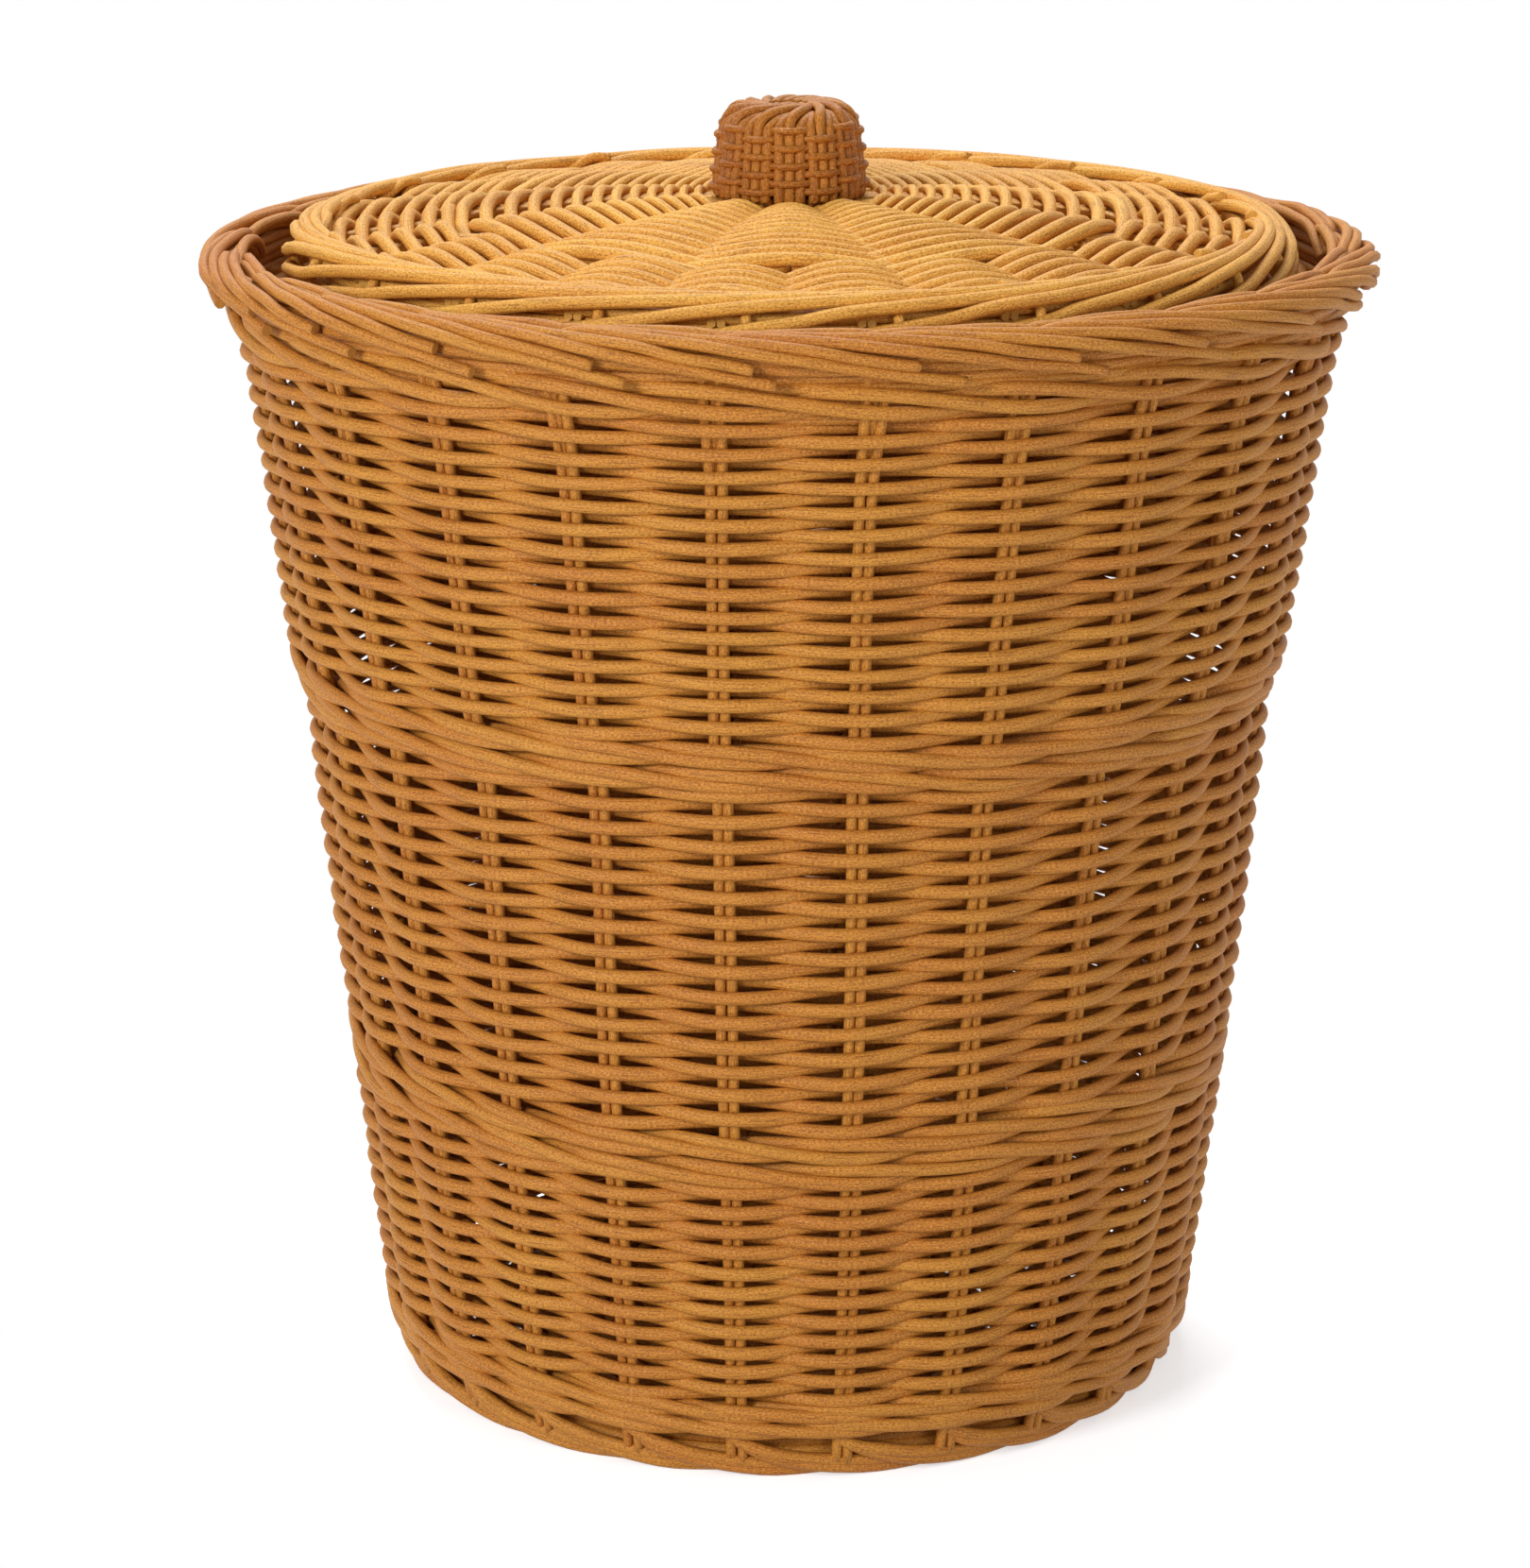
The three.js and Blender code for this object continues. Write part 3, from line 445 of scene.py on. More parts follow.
def stake_radius(height):
    """Radius of the stakes at a height: the wall's outside less the weaver and half a stake."""
    return np.interp(height, WALL_HEIGHTS, WALL_OUTSIDES) - STAKE_INSET


def slack(height):
    """How free the wall is to stray: the root of half a sine, so none at the foot and under the rim."""
    return np.sin(math.pi * np.clip(height / FREE_HEIGHT, 0, 1)) ** 0.5


def uneven(angle, height, waves):
    """How far the wall or its rows stray together near a place: sines round it, turned on with height."""
    total = sum(size * np.sin(count * angle + turn * height + phase) for count, turn, phase, size in waves)
    return total * slack(height) * MM


def snug(angle):
    """How closely the rows are beaten down: 0 round the front, easing to 1 round the back half."""
    return ease((np.sin(angle) - SNUG_FROM) / SNUG_OVER)


def climb(turn, turns, rise):
    """Height gained after a turn: each is level, then steps up by rise near its end, but for the last."""
    turn = np.clip(turn, 0, turns - STEP_UP)
    whole = np.floor(turn)
    return rise * (whole + ease((turn - whole - 1 + STEP_UP) / STEP_UP))


def tuck(turn, turns):
    """How far a strand's two ends are tucked in behind the wall, over a stake's step each."""
    ends = np.minimum(turn + STEP_UP, turns - turn)
    return TUCK_IN * (1 - ease(ends * STAKES))


def round_wall(low, turns, samples):
    """A wall strand's turns, angles and distances from the seam on, with so many samples for each stake."""
    turn = np.linspace(-STEP_UP, turns, int(turns * STAKES * samples))
    angle = SEAM + math.tau * turn
    return turn, angle, angle * stake_radius(low)


def weave_reach(sizes):
    """How far in front of a stake's middle, or behind it, a strand's middle passes."""
    return (sizes.weaver_diameter * FLATNESS + sizes.stake_diameter) / 2


def add_randing(bundle, low, high, turns, side):
    """One strand of randing, in front of one pair of stakes and behind the next.

    Its radius is the stakes' plus a cosine that goes from front to back in one step between stakes. Side 1
    is the strand that chases side 0: half a round higher, and behind where that one is in front.
    """
    sizes = bpy.context.scene.basket_sizes
    row = (high - low) / (2 * turns)
    turn, angle, distance = round_wall(low, turns, RANDING_SAMPLES)
    steady = 1 - SNUG_STEADINESS * snug(angle)
    stray = wander(distance, ROW_REACH, sizes.waver, bundle.chance) * steady
    height = low + row * (0.5 + side) + climb(turn, turns, 2 * row) + stray
    swing = np.cos(math.pi * ((angle - FRONT) / STAKE_STEP - 0.5)) * (1 - 2 * side)
    radius = stake_radius(height) + uneven(angle, height, LEANS) + weave_reach(sizes) * swing
    radius = radius + wander(distance, WALL_REACH, sizes.waver / 2, bundle.chance) - tuck(turn, turns)
    fullness = np.interp(height, FIELD_HEIGHTS, FIELD_FULLNESS) * (1 + SNUG_RANDING * snug(angle))
    spread = 1 + wander(distance, SIZE_REACH, RANDING_SIZE_SPREAD, bundle.chance)
    size = sizes.weaver_diameter * fullness * spread
    hidden = RISE_BEHIND * (1 + snug(angle)) * (1 - swing) / 2
    bundle.add_round(angle, radius, height + hidden + uneven(angle, height, DIPS),
                     size, size * FLATNESS, sides=STRAND_SIDES)


def add_waling(bundle, low, high, rounds):
    """Three strands, each over two stakes and behind one, a stake apart from each other.

    Between two stakes the radius eases from inside to outside or back. The height is a sine that takes
    three stakes, so that a strand comes up at the left and sweeps down to the right.
    """
    sizes = bpy.context.scene.basket_sizes
    row = (high - low) / (2 * rounds)
    for strand in range(WALE_STRANDS):
        turn, angle, distance = round_wall(low, rounds, WALING_SAMPLES)
        third = np.mod((angle - FRONT) / STAKE_STEP - 0.5 + strand, WALE_STRANDS)
        wave = np.sin(math.tau * third / WALE_STRANDS)
        height = low + row + climb(turn, rounds, 2 * row) + row / math.sqrt(3) * wave
        height = height + wander(distance, WALE_ROW_REACH, 2.0 * sizes.waver, bundle.chance)
        crown = WALE_CROWN * np.sin(math.pi * np.clip(third - 1, 0, 1))
        swing = 2 * ease(third) - 2 * ease(third - 2) - 1 + crown
        radius = stake_radius(height) + uneven(angle, height, LEANS) + weave_reach(sizes) * swing
        spread = WALE_FULLNESS + wander(distance, SIZE_REACH, WALING_SIZE_SPREAD, bundle.chance)
        size = sizes.weaver_diameter * spread * (1 + SNUG_WALING * snug(angle))
        bundle.add_round(angle, radius - tuck(turn, rounds), height + uneven(angle, height, DIPS),
                         size, size * FLATNESS, sides=STRAND_SIDES)


def add_rolled(bundle, knots, angle, size, samples=26):
    """One rod of a rolled border: a smooth line through knots of degrees onward, radius and height in mm."""
    line = smooth_line(knots, samples)
    bundle.add_round(angle + np.radians(line[:, 0]), line[:, 1] * MM, line[:, 2] * MM, size)


def add_hoops(bundle, hoops, size, samples=160):
    """Closed rings of cane at these radii and heights in mm, each a little out of round by a sine."""
    angle = np.linspace(0, math.tau, samples, endpoint=False)
    for radius, height in hoops:
        distance = angle * radius * MM
        r = radius * MM + HOOP_WOBBLE * np.sin(5 * angle + radius)
        z = height * MM + HOOP_WOBBLE * np.sin(7 * angle + height)
        width = size * (1 + HOOP_SIZE_SPREAD * np.sin(3 * angle + distance))
        bundle.add_round(angle, r, z, width, closed=True)


def add_forked(bundle, middle, radius, height, rod, gap, hub, fork, half):
    """Four rods that leave the hub side by side and fork into two pairs; gap, hub and fork are in mm.

    Before the fork a rod's angle is its place times the gap over the radius, and after it half the angle
    between two pairs plus its place in the pair, with an ease from the one to the other.
    """
    for place in FORK_PLACES:
        side = math.copysign(1, place)
        together = place * gap * MM / np.maximum(radius, hub * MM)
        apart = side * half + (place - side) * FORK_GAP * MM / radius
        share = ease((radius - fork * MM) / (FORK_LENGTH * MM))
        at = middle + together * (1 - share) + apart * share
        bundle.add(polar(at, radius, height), UP, rod, sides=FORK_SIDES)


# Stage, in metres. The floor runs out into the white backdrop past the basket's soft shadow
FLOOR_EDGE = 6.0
FLOOR_LIFT = 0.58
SHADOW_FADE = (0.11, 0.2)
WHITE = (1.0, 1.0, 1.0, 1.0)
WORLD_LIGHT = 0.25

# Soft square lamps: place, width, and power in watts
LAMPS = {
    "key_lamp": ((-1.35, -1.65, 1.0), 0.7, 31.0),
    "fill_lamp": ((1.4, -1.65, 0.5), 1.4, 12.0),
    "top_lamp": ((-0.2, 0.95, 1.8), 1.2, 32.0),
}
LAMP_AIM = Vector((0, 0, 0.15))

# The camera that took the photograph, worked out from its perspective
CAMERA_PLACE = (-5.8 * MM, -1216 * MM, 470.7 * MM)
CAMERA_DOWN = math.radians(15.03)
CAMERA_LENS = 117.04
CAMERA_FILM = 36
CAMERA_FAR = 50


class BASKET_OT_stage(bpy.types.Operator):
    """Sets the floor, the soft lights and the camera"""

    bl_idname = "basket.stage"
    bl_label = "Stage"

    def execute(self, context):
        scene = context.scene
        scene.view_settings.view_transform = "Standard"
        self.lay_floor(scene)
        self.light(scene)
        view = bpy.data.cameras.new("photo_camera")
        view.lens = CAMERA_LENS
        view.sensor_width = CAMERA_FILM
        view.clip_end = CAMERA_FAR
        camera = bpy.data.objects.new("photo_camera", view)
        camera.location = CAMERA_PLACE
        camera.rotation_euler = (math.pi / 2 - CAMERA_DOWN, 0, 0)
        scene.collection.objects.link(camera)
        scene.camera = camera
        return {"FINISHED"}

    def lay_floor(self, scene):
        """A square of matt white paint, lifted to white where the camera sees it."""
        mesh = bpy.data.meshes.new("floor")
        corners = [(x * FLOOR_EDGE, y * FLOOR_EDGE, 0) for x, y in ((-1, -1), (1, -1), (1, 1), (-1, 1))]
        mesh.from_pydata(corners, [], [(0, 1, 2, 3)])
        floor = bpy.data.objects.new("floor", mesh)
        scene.collection.objects.link(floor)
        paint = bpy.data.materials.new("matt white paint, rolled")
        tree = emptied(paint)
        seen = seen_straight(tree)
        matt = node(tree, "ShaderNodeBsdfDiffuse", {"Color": tuple(scene.basket_colours.floor)}).outputs[0]
        lift = node(tree, "ShaderNodeMath", {0: seen, 1: FLOOR_LIFT}, operation="MULTIPLY").outputs[0]
        glow = node(tree, "ShaderNodeEmission", {"Color": WHITE, "Strength": lift}).outputs[0]
        near = node(tree, "ShaderNodeAddShader", {0: matt, 1: glow}).outputs[0]
        place = node(tree, "ShaderNodeTexCoord").outputs["Object"]
        away = node(tree, "ShaderNodeVectorMath", {0: place}, operation="LENGTH").outputs["Value"]
        fade = node(tree, "ShaderNodeMapRange",
                    {"Value": away, "From Min": SHADOW_FADE[0], "From Max": SHADOW_FADE[1]},
                    interpolation_type="SMOOTHSTEP").outputs[0]
        share = node(tree, "ShaderNodeMath", {0: fade, 1: seen}, operation="MULTIPLY").outputs[0]
        white = node(tree, "ShaderNodeEmission", {"Color": WHITE, "Strength": 1.0}).outputs[0]
        both = node(tree, "ShaderNodeMixShader", {0: share, 1: near, 2: white}).outputs[0]
        node(tree, "ShaderNodeOutputMaterial", {"Surface": both})
        mesh.materials.append(paint)

    def light(self, scene):
        """A white world that lights the object faintly, and the soft lamps."""
        world = bpy.data.worlds.new("studio")
        scene.world = world
        tree = emptied(world)
        seen = seen_straight(tree)
        strength = node(tree, "ShaderNodeMapRange",
                        {"Value": seen, "To Min": WORLD_LIGHT, "To Max": 1.0}).outputs[0]
        sky = node(tree, "ShaderNodeBackground", {"Color": WHITE, "Strength": strength}).outputs[0]
        node(tree, "ShaderNodeOutputWorld", {"Surface": sky})
        for name, (place, size, power) in LAMPS.items():
            light = bpy.data.lights.new(name, "AREA")
            light.size = size
            light.energy = power
            lamp = bpy.data.objects.new(name, light)
            lamp.location = place
            aim = LAMP_AIM - lamp.location
            lamp.rotation_euler = aim.to_track_quat("-Z", "Y").to_euler()
            scene.collection.objects.link(lamp)


# Stakes, in mm: from the foot into the rim, with a spare rod from partway up beside each pair
STAKE_FOOT = 4
STAKE_TOP = 275
STAKE_SAMPLES = 90
STAKE_GAP = 0.05
STAKE_GAP_SPREAD = 0.2
STAKE_SWAY = 0.5
SPARE_FOOTS = (205, 246)
SPARE_SAMPLES = 24
SPARE_INSET = 0.7
SPARE_ASIDE = 1.5
SPARE_LEANING = 3

# Over what length, in metres, the gap in a pair and the pair itself stray
STAKE_GAP_REACH = 0.1
STAKE_SWAY_REACH = 0.3

# A pair's rods part by so much, and a pair leans, each from a height on and over a length
PARTING = (0.3, 1.6)
PARTING_FROM = 236
PARTING_OVER = 32
LEANING = 1.4
LEANING_FROM = 240
LEANING_OVER = 30


class BASKET_OT_stakes(bpy.types.Operator):
    """Sets the pairs of upright stakes"""

    bl_idname = "basket.stakes"
    bl_label = "Stakes"

    def execute(self, context):
        size = context.scene.basket_sizes.stake_diameter
        for pair in range(STAKES):
            bundle = Bundle(100 + pair)
            chance = bundle.chance
            angle = stake_angle(pair)
            height = np.linspace(STAKE_FOOT, STAKE_TOP, STAKE_SAMPLES) * MM
            parting = ease((height - PARTING_FROM * MM) / (PARTING_OVER * MM)) * chance.uniform(*PARTING) * MM
            gap = STAKE_GAP * MM + wander(height, STAKE_GAP_REACH, STAKE_GAP_SPREAD * MM, chance) + parting
            sway = wander(height, STAKE_SWAY_REACH, STAKE_SWAY * MM, chance)
            lean = chance.uniform(-LEANING, LEANING) * MM
            lean = lean * ease((height - LEANING_FROM * MM) / (LEANING_OVER * MM))
            radius = stake_radius(height) + uneven(angle, height, LEANS) + STAKE_PROUD
            for hand in (-1, 1):
                aside = sway + lean + hand * (size + gap) / 2
                bundle.add_round(angle + aside / radius, radius, height, size)
            # The spare rod is pushed down beside the pair, to bend over into the rim with it
            height = np.linspace(chance.uniform(*SPARE_FOOTS), STAKE_TOP, SPARE_SAMPLES) * MM
            share = (height - height[0]) / (height[-1] - height[0])
            radius = stake_radius(height) + uneven(angle, height, LEANS) - SPARE_INSET * MM * (1 - share)
            aside = chance.uniform(-SPARE_ASIDE, SPARE_ASIDE) * MM
            aside = aside + share * chance.uniform(-SPARE_LEANING, SPARE_LEANING) * MM
            bundle.add_round(angle + aside / radius, radius, height, size)
            bundle.piece(f"stakes_{pair + 1:02d}", "basket", finishes("side"),
                         [f"stake_pair_{pair + 1:02d}"])
        return {"FINISHED"}


class BASKET_OT_fields(bpy.types.Operator):
    """Weaves the three fields of randing, each of two strands that chase each other"""

    bl_idname = "basket.fields"
    bl_label = "Randing"

    def execute(self, context):
        sizes = context.scene.basket_sizes
        fields = {
            "lower": ("foot_wale", "lower_wale", sizes.lower_turns),
            "middle": ("lower_wale", "middle_wale", sizes.middle_turns),
            "upper": ("middle_wale", "top_wale", sizes.upper_turns),
        }
        for seed, (name, (below, above, turns)) in enumerate(fields.items()):
            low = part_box(below)[1].z
            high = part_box(above)[0].z + TOP_WALE_LIFT * (above == "top_wale")
            for side, letter in enumerate("ab"):
                bundle = Bundle(20 + 2 * seed + side)
                add_randing(bundle, low, high, turns, side)
                bundle.piece(f"{name}_randing_{letter}", "basket", finishes("side"),
                             [f"{name}_weaver_{letter}"])
        return {"FINISHED"}


class BASKET_OT_wales(bpy.types.Operator):
    """Weaves the four dense bands of three-rod waling, of two rounds each but for the top one"""

    bl_idname = "basket.wales"
    bl_label = "Waling"

    def execute(self, context):
        for seed, name in enumerate(("foot_wale", "lower_wale", "middle_wale", "top_wale")):
            low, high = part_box(name)
            bundle = Bundle(40 + seed)
            rounds = 1 if name == "top_wale" else 2
            add_waling(bundle, low.z + TOP_WALE_LIFT * (2 - rounds), high.z, rounds)
            bundle.piece(name.replace("wale", "waling"), "basket", finishes("side"), [name])
        return {"FINISHED"}


# Rim border. A hoop is a radius and a height in mm, a rod's knot degrees onward, radius and height in mm
RIM_HOOPS = ((131.8, 275.0), (134.2, 276.9), (135.2, 274.6), (135.2, 272.8), (133.8, 272.6),
             (131.8, 272.4), (132.4, 270.2), (132.2, 267.9), (129.2, 264.8), (128.2, 260.8))
RIM_HOOP_SIZE = 3.0 * MM
RIM_OUTER = np.array([(-1.5, 133.2, 272.0), (-0.3, 133.4, 276.0), (1.2, 134.2, 278.6), (4, 135.2, 279.3),
                      (9, 137.2, 279.1), (14, 139.0, 278.4), (19, 140.3, 277.0), (24, 140.1, 275.0),
                      (29, 138.8, 272.8), (33.5, 137.9, 271.0), (37.5, 137.4, 269.3)])
RIM_INNER = np.array([(-2.2, 131.2, 272.4), (-1, 131.4, 276.2), (0.4, 132.0, 278.9), (4, 132.9, 279.5),
                      (9, 134.7, 279.6), (14, 136.7, 279.4), (19, 138.4, 278.8), (24, 139.6, 277.6),
                      (28, 139.9, 276.0), (31, 139.6, 274.6), (34, 138.9, 273.3)])
RIM_RIDGE = np.array([(-4, 130.2, 272.6), (-1.4, 129.8, 276.2), (2, 129.8, 278.6), (7, 130.1, 279.5),
                      (12, 130.9, 279.4), (16, 132.2, 278.2), (19, 133.8, 276.0)])
RIM_SAMPLES = 40
RIM_TURN = 0.9
RIM_SHAKE = 0.3
RIM_CUT_ENDS = (-1.4, 1.0)
RIDGE_ONWARD = math.radians(1.6)
RIDGE_ASIDES = (0.0, 1.3)
RIDGE_ASIDE = np.array((0.6, 1.0, -0.9))
RIDGE_SHAKE = 0.2


class BASKET_OT_rim(bpy.types.Operator):
    """Rolls the stakes' upper ends into the rim border, with their cut ends below it"""

    bl_idname = "basket.rim"
    bl_label = "Rim border"

    def execute(self, context):
        size = context.scene.basket_sizes.border_rod_diameter
        bundle = Bundle(50)
        add_hoops(bundle, RIM_HOOPS, RIM_HOOP_SIZE)
        for pair in range(STAKES):
            angle = stake_angle(pair) + math.radians(bundle.chance.uniform(-RIM_TURN, RIM_TURN))
            for knots in (RIM_OUTER, RIM_INNER):
                line = bundle.shaken(knots, RIM_SHAKE)
                line[-2:, 0] += bundle.chance.uniform(*RIM_CUT_ENDS)
                add_rolled(bundle, line, angle, size, samples=RIM_SAMPLES)
            for aside in RIDGE_ASIDES:
                line = bundle.shaken(RIM_RIDGE + aside * RIDGE_ASIDE, RIDGE_SHAKE)
                add_rolled(bundle, line, angle + RIDGE_ONWARD, size)
        bundle.piece("rolled_rim", "basket", finishes("side"), ["rim_border"])
        return {"FINISHED"}


# Foot border, in the same measures as the rim's. A pair's second rod lies aside of its first
FOOT_HOOPS = ((90.2, 3.2), (91.6, 5.4), (90.2, 7.6), (91.8, 11.6))
FOOT_HOOP_SIZE = 3.2 * MM
FOOT_ROD = 3.1 * MM
FOOT_KNOTS = np.array([(-2.4, 95.0, 13.4), (-0.8, 96.7, 11.4), (1.8, 97.4, 8.9), (6, 97.0, 6.8),
                       (11, 96.2, 5.2), (18, 94.6, 3.8), (26, 92.6, 2.8), (34, 91.0, 2.6), (42, 89.6, 3.6)])
FOOT_SECOND_ROD = np.array((1.6, -0.9, -2.2))
FOOT_SHAKE = 0.25
FOOT_CLEARANCE = 0.1


class BASKET_OT_foot(bpy.types.Operator):
    """Rolls the stakes' lower ends into the foot border"""

    bl_idname = "basket.foot"
    bl_label = "Foot border"

    def execute(self, context):
        bundle = Bundle(60)
        add_hoops(bundle, FOOT_HOOPS, FOOT_HOOP_SIZE)
        lowest = FOOT_ROD / 2 / MM + FOOT_CLEARANCE
        for rod in range(2 * STAKES):
            pair, hand = divmod(rod, 2)
            line = bundle.shaken(FOOT_KNOTS, FOOT_SHAKE) + hand * FOOT_SECOND_ROD
            line[:, 2] = np.maximum(line[:, 2], lowest)
            add_rolled(bundle, line, stake_angle(pair), FOOT_ROD)
        bundle.piece("rolled_foot", "basket", finishes("side"), ["foot_border"])
        return {"FINISHED"}


# Base: 12 bundles of rods, whose rods end between the stakes, and two strands
BASE_BUNDLES = 12
BASE_STEP = math.tau / BASE_BUNDLES
BASE_LEVEL = 9.5 * MM
BASE_CROSSING = 0.3 * MM
BASE_ROD = 2.4 * MM
BASE_ROD_SPAN = (1, 94)
BASE_ROD_SAMPLES = 60
BASE_ROD_GAP = 1.9
BASE_HUB = 14
BASE_FORK = 50
BASE_STRAND = 3.2 * MM
BASE_TURNS = 13
BASE_WEAVE = (15.8, 91)
BASE_FAST_FROM = 53
BASE_FAST_OVER = 5


class BASKET_OT_base(bpy.types.Operator):
    """Weaves the base: rods out from the middle, and two strands that chase each other"""

    bl_idname = "basket.base"
    bl_label = "Base"

    def execute(self, context):
        bundle = Bundle(70)
        radius = np.linspace(*BASE_ROD_SPAN, BASE_ROD_SAMPLES) * MM
        for spoke in range(BASE_BUNDLES):
            level = BASE_LEVEL + BASE_CROSSING * spoke / BASE_BUNDLES
            add_forked(bundle, FRONT + (spoke + 0.5) * BASE_STEP, radius, level, BASE_ROD,
                       BASE_ROD_GAP, BASE_HUB, BASE_FORK, STAKE_STEP / 2)
        bundle.piece("base_rods", "basket", finishes("side"), ["base_spokes"])

        # A strand passes over and under whole bundles near the hub, and over and under pairs past the fork
        start, end = BASE_WEAVE
        for side, letter in enumerate("ab"):
            bundle = Bundle(71 + side)
            turn = np.linspace(0, BASE_TURNS, BASE_TURNS * STAKES * RANDING_SAMPLES)
            angle = BEHIND + math.tau * turn
            out = (start + (end - start) * (turn + side * 0.5) / (BASE_TURNS + 0.5)) * MM
            slow = np.cos(math.pi * ((angle - FRONT) / BASE_STEP - 0.5))
            fast = np.cos(math.pi * ((angle - FRONT) / STAKE_STEP - 0.5))
            share = ease((out - BASE_FAST_FROM * MM) / (BASE_FAST_OVER * MM))
            swing = (slow * (1 - share) + fast * share) * (1 - 2 * side)
            path = polar(angle, out, BASE_LEVEL + swing * (BASE_ROD + BASE_STRAND) / 2)
            bundle.add(path, UP, BASE_STRAND)
            bundle.piece(f"base_randing_{letter}", "basket", finishes("side"),
                         [f"base_weaver_{letter}"])
        return {"FINISHED"}


# Ledge: two strands twisted round each other
LEDGE_STRAND = 3.4 * MM
LEDGE_INSIDE = 117.2 * MM
LEDGE_TWISTS = 18
TWIST_SAMPLES = 24
LEDGE_SWING = 1.6 * MM
LEDGE_RISE = 1.3 * MM


class BASKET_OT_ledge(bpy.types.Operator):
    """Lays the ledge on which the lid rests: each strand circles the ledge's middle as it goes round"""

    bl_idname = "basket.ledge"
    bl_label = "Lid ledge"

    def execute(self, context):
        low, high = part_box("lid_ledge")
        bundle = Bundle(80)
        outside = high.x - LEDGE_STRAND / 2
        angle = np.linspace(0, math.tau, LEDGE_TWISTS * TWIST_SAMPLES, endpoint=False)
        middle_r, middle_z = (LEDGE_INSIDE + outside) / 2, (low.z + high.z) / 2
        for strand in range(2):
            twist = LEDGE_TWISTS * angle + strand * math.pi
            radius = middle_r + LEDGE_SWING * np.cos(twist)
            height = middle_z + LEDGE_RISE * np.sin(twist)
            bundle.add_round(angle, radius, height, LEDGE_STRAND, closed=True)
        bundle.piece("twisted_ledge", "basket", finishes("side"), ["lid_ledge"])
        return {"FINISHED"}


# Lid, in mm: the dome as radii and heights of the middle of its rods, and 11 bundles of rods
LID_DOME = np.array([(0, 289.4), (18, 289.3), (45, 287.9), (77, 284.2), (111.3, 279.7), (120, 278.4)])
LID_BUNDLES = 11
LID_STEP = math.tau / LID_BUNDLES
LID_ROD = 2.1 * MM
LID_ROD_SPAN = (13, 116)
LID_ROD_SAMPLES = 70
LID_ROD_GAP = 2.0
LID_HUB = 15
LID_FORK = 74

# The inner field's rows grow from 1.7 mm at the knob to 2.9 mm at 70 mm out
INNER_FIELD = (21.4, 80.5)
INNER_ROW_AT = (22, 70)
INNER_ROWS = (1.7, 2.9)
INNER_FULLNESS = 1.2
INNER_SAMPLES = 18

# The outer field's turns, and where it is after them; the second strand lies further out
OUTER_TURNS = 5.6
OUTER_TURNS_AT = (0, 1, OUTER_TURNS)
OUTER_FIELD = (80.7, 84.6, 109.5)
OUTER_STRAND = 3.4 * MM
OUTER_ASIDE = 2.7
OUTER_START = -0.15
OUTER_SAMPLES = 12


def lid_height(radius):
    """Height of the middle of the lid's rods at a radius, along the dome."""
    line = smooth_line(LID_DOME, 200) * MM
    return np.interp(radius, line[:, 0], line[:, 1])


class BASKET_OT_lid(bpy.types.Operator):
    """Weaves the lid: bundles of rods that fork, and the strands over and under them"""

    bl_idname = "basket.lid"
    bl_label = "Lid"

    def execute(self, context):
        bundle = Bundle(90)
        radius = np.linspace(*LID_ROD_SPAN, LID_ROD_SAMPLES) * MM
        for spoke in range(LID_BUNDLES):
            add_forked(bundle, FRONT + spoke * LID_STEP, radius, lid_height(radius), LID_ROD,
                       LID_ROD_GAP, LID_HUB, LID_FORK, LID_STEP / 4)
        bundle.piece("lid_rods", "lid", finishes("lid"), ["lid_spokes"])
        self.weave_inner_field()
        self.weave_outer_field()
        return {"FINISHED"}

    def weave_inner_field(self):
        """One strand, the dome's height plus a cosine: over one of the 11 bundles and under the next."""
        grid = np.linspace(*INNER_FIELD, 400)
        row = np.interp(grid, INNER_ROW_AT, INNER_ROWS)
        turns = np.concatenate([[0], np.cumsum(np.diff(grid) / ((row[1:] + row[:-1]) / 2))])
        half_step = 0.5 / LID_BUNDLES
        whole = round(turns[-1]) - half_step
        turns = turns * whole / turns[-1]
        turn = np.linspace(-half_step, whole, int(whole * LID_BUNDLES * INNER_SAMPLES))
        out = np.interp(turn, turns, grid) * MM
        angle = BEHIND + math.tau * turn
        size = INNER_FULLNESS * np.interp(turn, turns, row) * MM
        swing = np.cos(math.pi * (angle - FRONT) / LID_STEP)
        bundle = Bundle(91)
        bundle.add(polar(angle, out, lid_height(out) + swing * (LID_ROD + size) / 2), UP, size)
        bundle.piece("lid_inner_randing", "lid", finishes("lid"), ["lid_inner_weaver"])

    def weave_outer_field(self):
        """Two strands, each the dome's height plus a cosine, over and under the forked pairs in turn."""
        for side, letter in enumerate("ab"):
            bundle = Bundle(92 + side)
            samples = int(OUTER_TURNS * 2 * LID_BUNDLES * OUTER_SAMPLES)
            turn = np.linspace(OUTER_START * (1 - side), OUTER_TURNS, samples)
            angle = BEHIND + math.tau * turn
            out = (np.interp(turn, OUTER_TURNS_AT, OUTER_FIELD) + OUTER_ASIDE * side) * MM
            swing = np.cos(math.pi * ((angle - FRONT) / (LID_STEP / 2) - 0.5)) * (1 - 2 * side)
            path = polar(angle, out, lid_height(out) + swing * (LID_ROD + OUTER_STRAND) / 2)
            bundle.add(path, UP, OUTER_STRAND)
            bundle.piece(f"lid_outer_randing_{letter}", "lid", finishes("lid"),
                         [f"lid_outer_weaver_{letter}"])


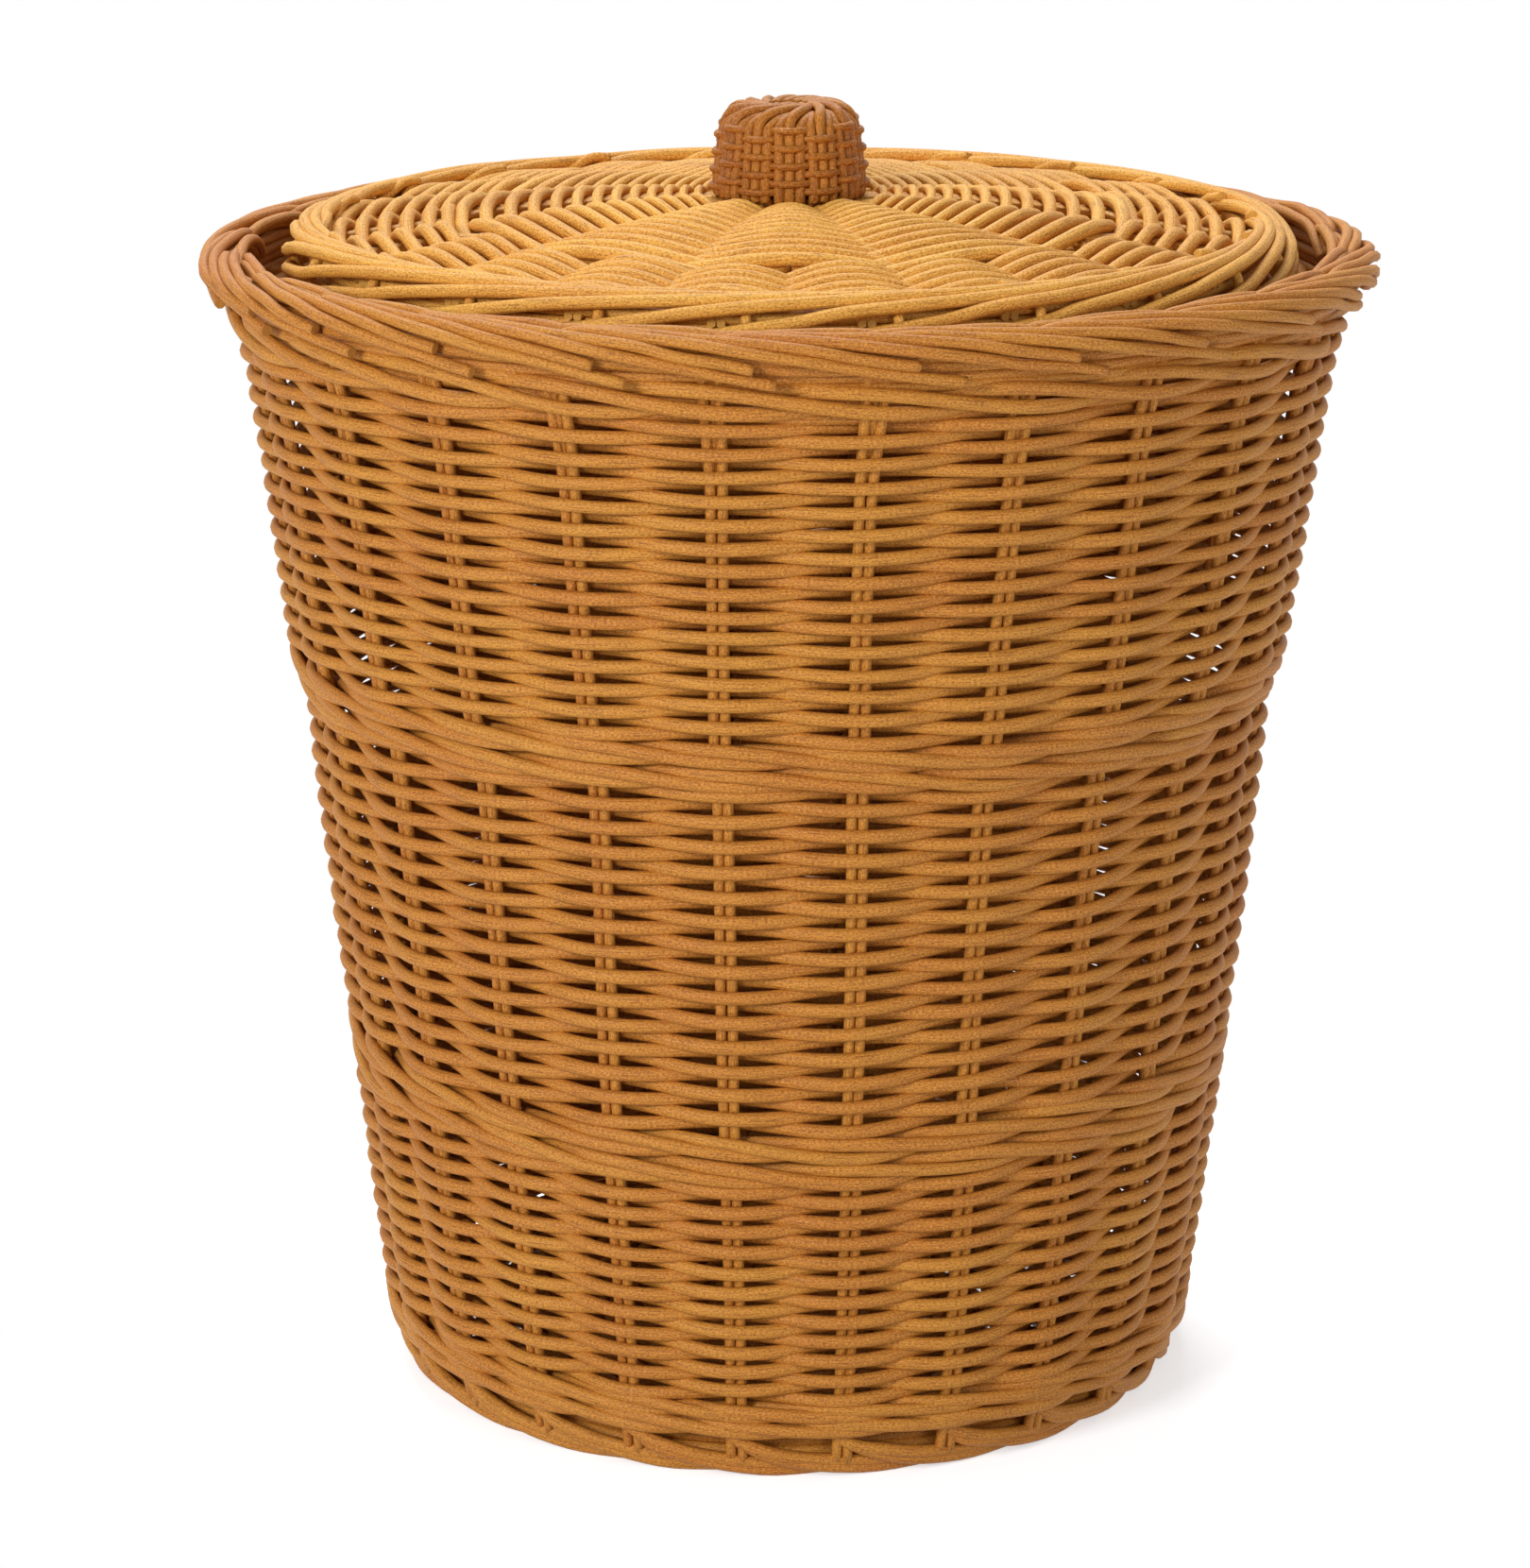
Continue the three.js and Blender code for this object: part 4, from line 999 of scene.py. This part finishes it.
# Lid border, in the same measures as the rim's: the roll, and short rods that end in it and under it
LID_HOOPS = ((112.4, 280.4), (114.4, 280.2), (113.8, 277.4), (112.6, 275.2), (113.0, 272.8))
LID_HOOP_SIZE = 2.9 * MM
ROLL_KNOTS = np.array([(4, 109.8, 279.4), (1.4, 111.2, 282.8), (-5, 112.4, 284.3), (-17, 113.8, 284.6),
                       (-30, 115.6, 284.2), (-42, 117.4, 283.3), (-51, 118.8, 281.9), (-57, 119.7, 280.2),
                       (-62, 120.2, 278.4), (-68, 120.5, 276.6), (-77, 120.0, 274.9), (-88, 118.8, 273.4),
                       (-97, 117.0, 271.8)])
STUB_KNOTS = np.array([(0, 111.0, 285.0), (2.5, 111.3, 284.8), (5, 111.8, 283.4), (7.5, 112.6, 280.8)])
POST_KNOTS = np.array([(0, 115.4, 282.0), (0.4, 117.6, 279.6), (0, 118.2, 276.2), (-0.6, 117.0, 272.6)])
ROLL_ROD = 3.1 * MM
ROLL_SHAKE = 0.35
STUB_ROD = 2.5 * MM
STUB_SHAKE = 0.5
POST_ONWARD = math.radians(3)


class BASKET_OT_lid_border(bpy.types.Operator):
    """Rolls the lid's rods into its border of two layers"""

    bl_idname = "basket.lid_border"
    bl_label = "Lid border"

    def execute(self, context):
        bundle = Bundle(95)
        add_hoops(bundle, LID_HOOPS, LID_HOOP_SIZE)
        for prong in range(2 * LID_BUNDLES):
            angle = FRONT + (prong + 0.5) * LID_STEP / 2
            add_rolled(bundle, bundle.shaken(ROLL_KNOTS, ROLL_SHAKE), angle, ROLL_ROD, samples=64)
            add_rolled(bundle, bundle.shaken(STUB_KNOTS, STUB_SHAKE), angle, STUB_ROD, samples=12)
            add_rolled(bundle, POST_KNOTS, angle + POST_ONWARD, STUB_ROD, samples=8)
        bundle.piece("rolled_lid_edge", "lid", finishes("lid"), ["lid_border"])
        return {"FINISHED"}


# Knob, in the same measures: a column's line, 13 columns of three rods, and hoops inside the crown
KNOB_KNOTS = np.array([(0, 12.0, 290.6), (0, 16.7, 291.0), (0, 17.2, 294.0), (0, 16.7, 299.0),
                       (0, 16.0, 304.0), (0, 15.2, 308.6), (6, 13.0, 311.2), (26, 8.6, 311.8),
                       (56, 4.8, 311.4)])
KNOB_HOOPS = ((12.6, 307.4), (10.4, 309.2), (8.2, 310.0), (6.0, 310.4), (3.8, 310.8), (1.5, 311.0))
KNOB_COLUMNS = 13
KNOB_STEP = math.tau / KNOB_COLUMNS
KNOB_ROD = 2.6 * MM
KNOB_ROD_GAP = 2.45
KNOB_CROWN = 6.0
KNOB_SAMPLES = 60
KNOB_SIDE_ROD_SAMPLES = 50
KNOB_UPRIGHT_SAMPLES = 40

# The rods beside a column's middle one sink this far under it in the crown, from a height on
SIDE_ROD_SINK = 1.4
SINK_FROM = 307
SINK_OVER = 4

# The fine strand: its turns, first height and rise in mm, and how far it swings for the rods' thickness
KNOB_TURNS = 8.0
KNOB_WEAVE_SAMPLES = 12
KNOB_WEAVE_FROM = 292.4
KNOB_WEAVE_RISE = 16.4
KNOB_SWING = 0.62


class BASKET_OT_knob(bpy.types.Operator):
    """Weaves the knob: columns of rods that fold in at the top, and one fine strand round them"""

    bl_idname = "basket.knob"
    bl_label = "Knob"

    def execute(self, context):
        size = context.scene.basket_sizes.knob_strand_diameter
        bundle = Bundle(97)
        line = smooth_line(KNOB_KNOTS, KNOB_SAMPLES)
        for column in range(KNOB_COLUMNS):
            for place in (-1, 0, 1):
                part = line[:KNOB_SIDE_ROD_SAMPLES] if place else line
                aside = place * KNOB_ROD_GAP / np.maximum(part[:, 1], KNOB_CROWN)
                at = FRONT + column * KNOB_STEP + aside + np.radians(part[:, 0])
                sink = abs(place) * SIDE_ROD_SINK * ease((part[:, 2] - SINK_FROM) / SINK_OVER)
                path = polar(at, part[:, 1] * MM, (part[:, 2] - sink) * MM)
                bundle.add(path, polar(at, 0.6, 0.8), KNOB_ROD)
        add_hoops(bundle, KNOB_HOOPS, KNOB_ROD, samples=40)
        bundle.piece("knob_rods", "lid", finishes("knob"), ["knob_frame"])

        bundle = Bundle(98)
        turn = np.linspace(0, KNOB_TURNS, int(KNOB_TURNS * KNOB_COLUMNS * KNOB_WEAVE_SAMPLES))
        angle = BEHIND + math.tau * turn
        height = KNOB_WEAVE_FROM + KNOB_WEAVE_RISE * turn / KNOB_TURNS
        column = np.interp(height, line[:KNOB_UPRIGHT_SAMPLES, 2], line[:KNOB_UPRIGHT_SAMPLES, 1])
        swing = np.cos(math.pi * (angle - FRONT) / KNOB_STEP)
        radius = column * MM + swing * (KNOB_ROD + size) / 2 * KNOB_SWING
        bundle.add_round(angle, radius, height * MM, size)
        bundle.piece("knob_randing", "lid", finishes("knob"), ["knob_weaver"])
        return {"FINISHED"}


OPERATORS = (BASKET_OT_stage, BASKET_OT_stakes, BASKET_OT_fields, BASKET_OT_wales, BASKET_OT_rim,
             BASKET_OT_foot, BASKET_OT_base, BASKET_OT_ledge, BASKET_OT_lid, BASKET_OT_lid_border,
             BASKET_OT_knob)


class BASKET_PT_panel(bpy.types.Panel):
    """Lists the basket's sizes, colours and steps"""

    bl_label = "Wicker waste basket"
    bl_idname = "BASKET_PT_panel"
    bl_space_type = "VIEW_3D"
    bl_region_type = "UI"
    bl_category = "Basket"

    def draw(self, context):
        for group in (context.scene.basket_sizes, context.scene.basket_colours):
            for name in group.__annotations__:
                self.layout.prop(group, name)
        for operator in OPERATORS:
            self.layout.operator(operator.bl_idname)


CLASSES = (BasketSizes, BasketColours) + OPERATORS + (BASKET_PT_panel,)


def register():
    for each in CLASSES:
        bpy.utils.register_class(each)
    bpy.types.Scene.basket_sizes = bpy.props.PointerProperty(type=BasketSizes)
    bpy.types.Scene.basket_colours = bpy.props.PointerProperty(type=BasketColours)


def unregister():
    del bpy.types.Scene.basket_colours
    del bpy.types.Scene.basket_sizes
    for each in reversed(CLASSES):
        bpy.utils.unregister_class(each)


def main():
    """Makes the stage and every piece."""
    register()
    bpy.ops.basket.stage()
    bpy.ops.basket.stakes()
    bpy.ops.basket.fields()
    bpy.ops.basket.wales()
    bpy.ops.basket.rim()
    bpy.ops.basket.foot()
    bpy.ops.basket.base()
    bpy.ops.basket.ledge()
    bpy.ops.basket.lid()
    bpy.ops.basket.lid_border()
    bpy.ops.basket.knob()


if __name__ == "__main__":
    main()
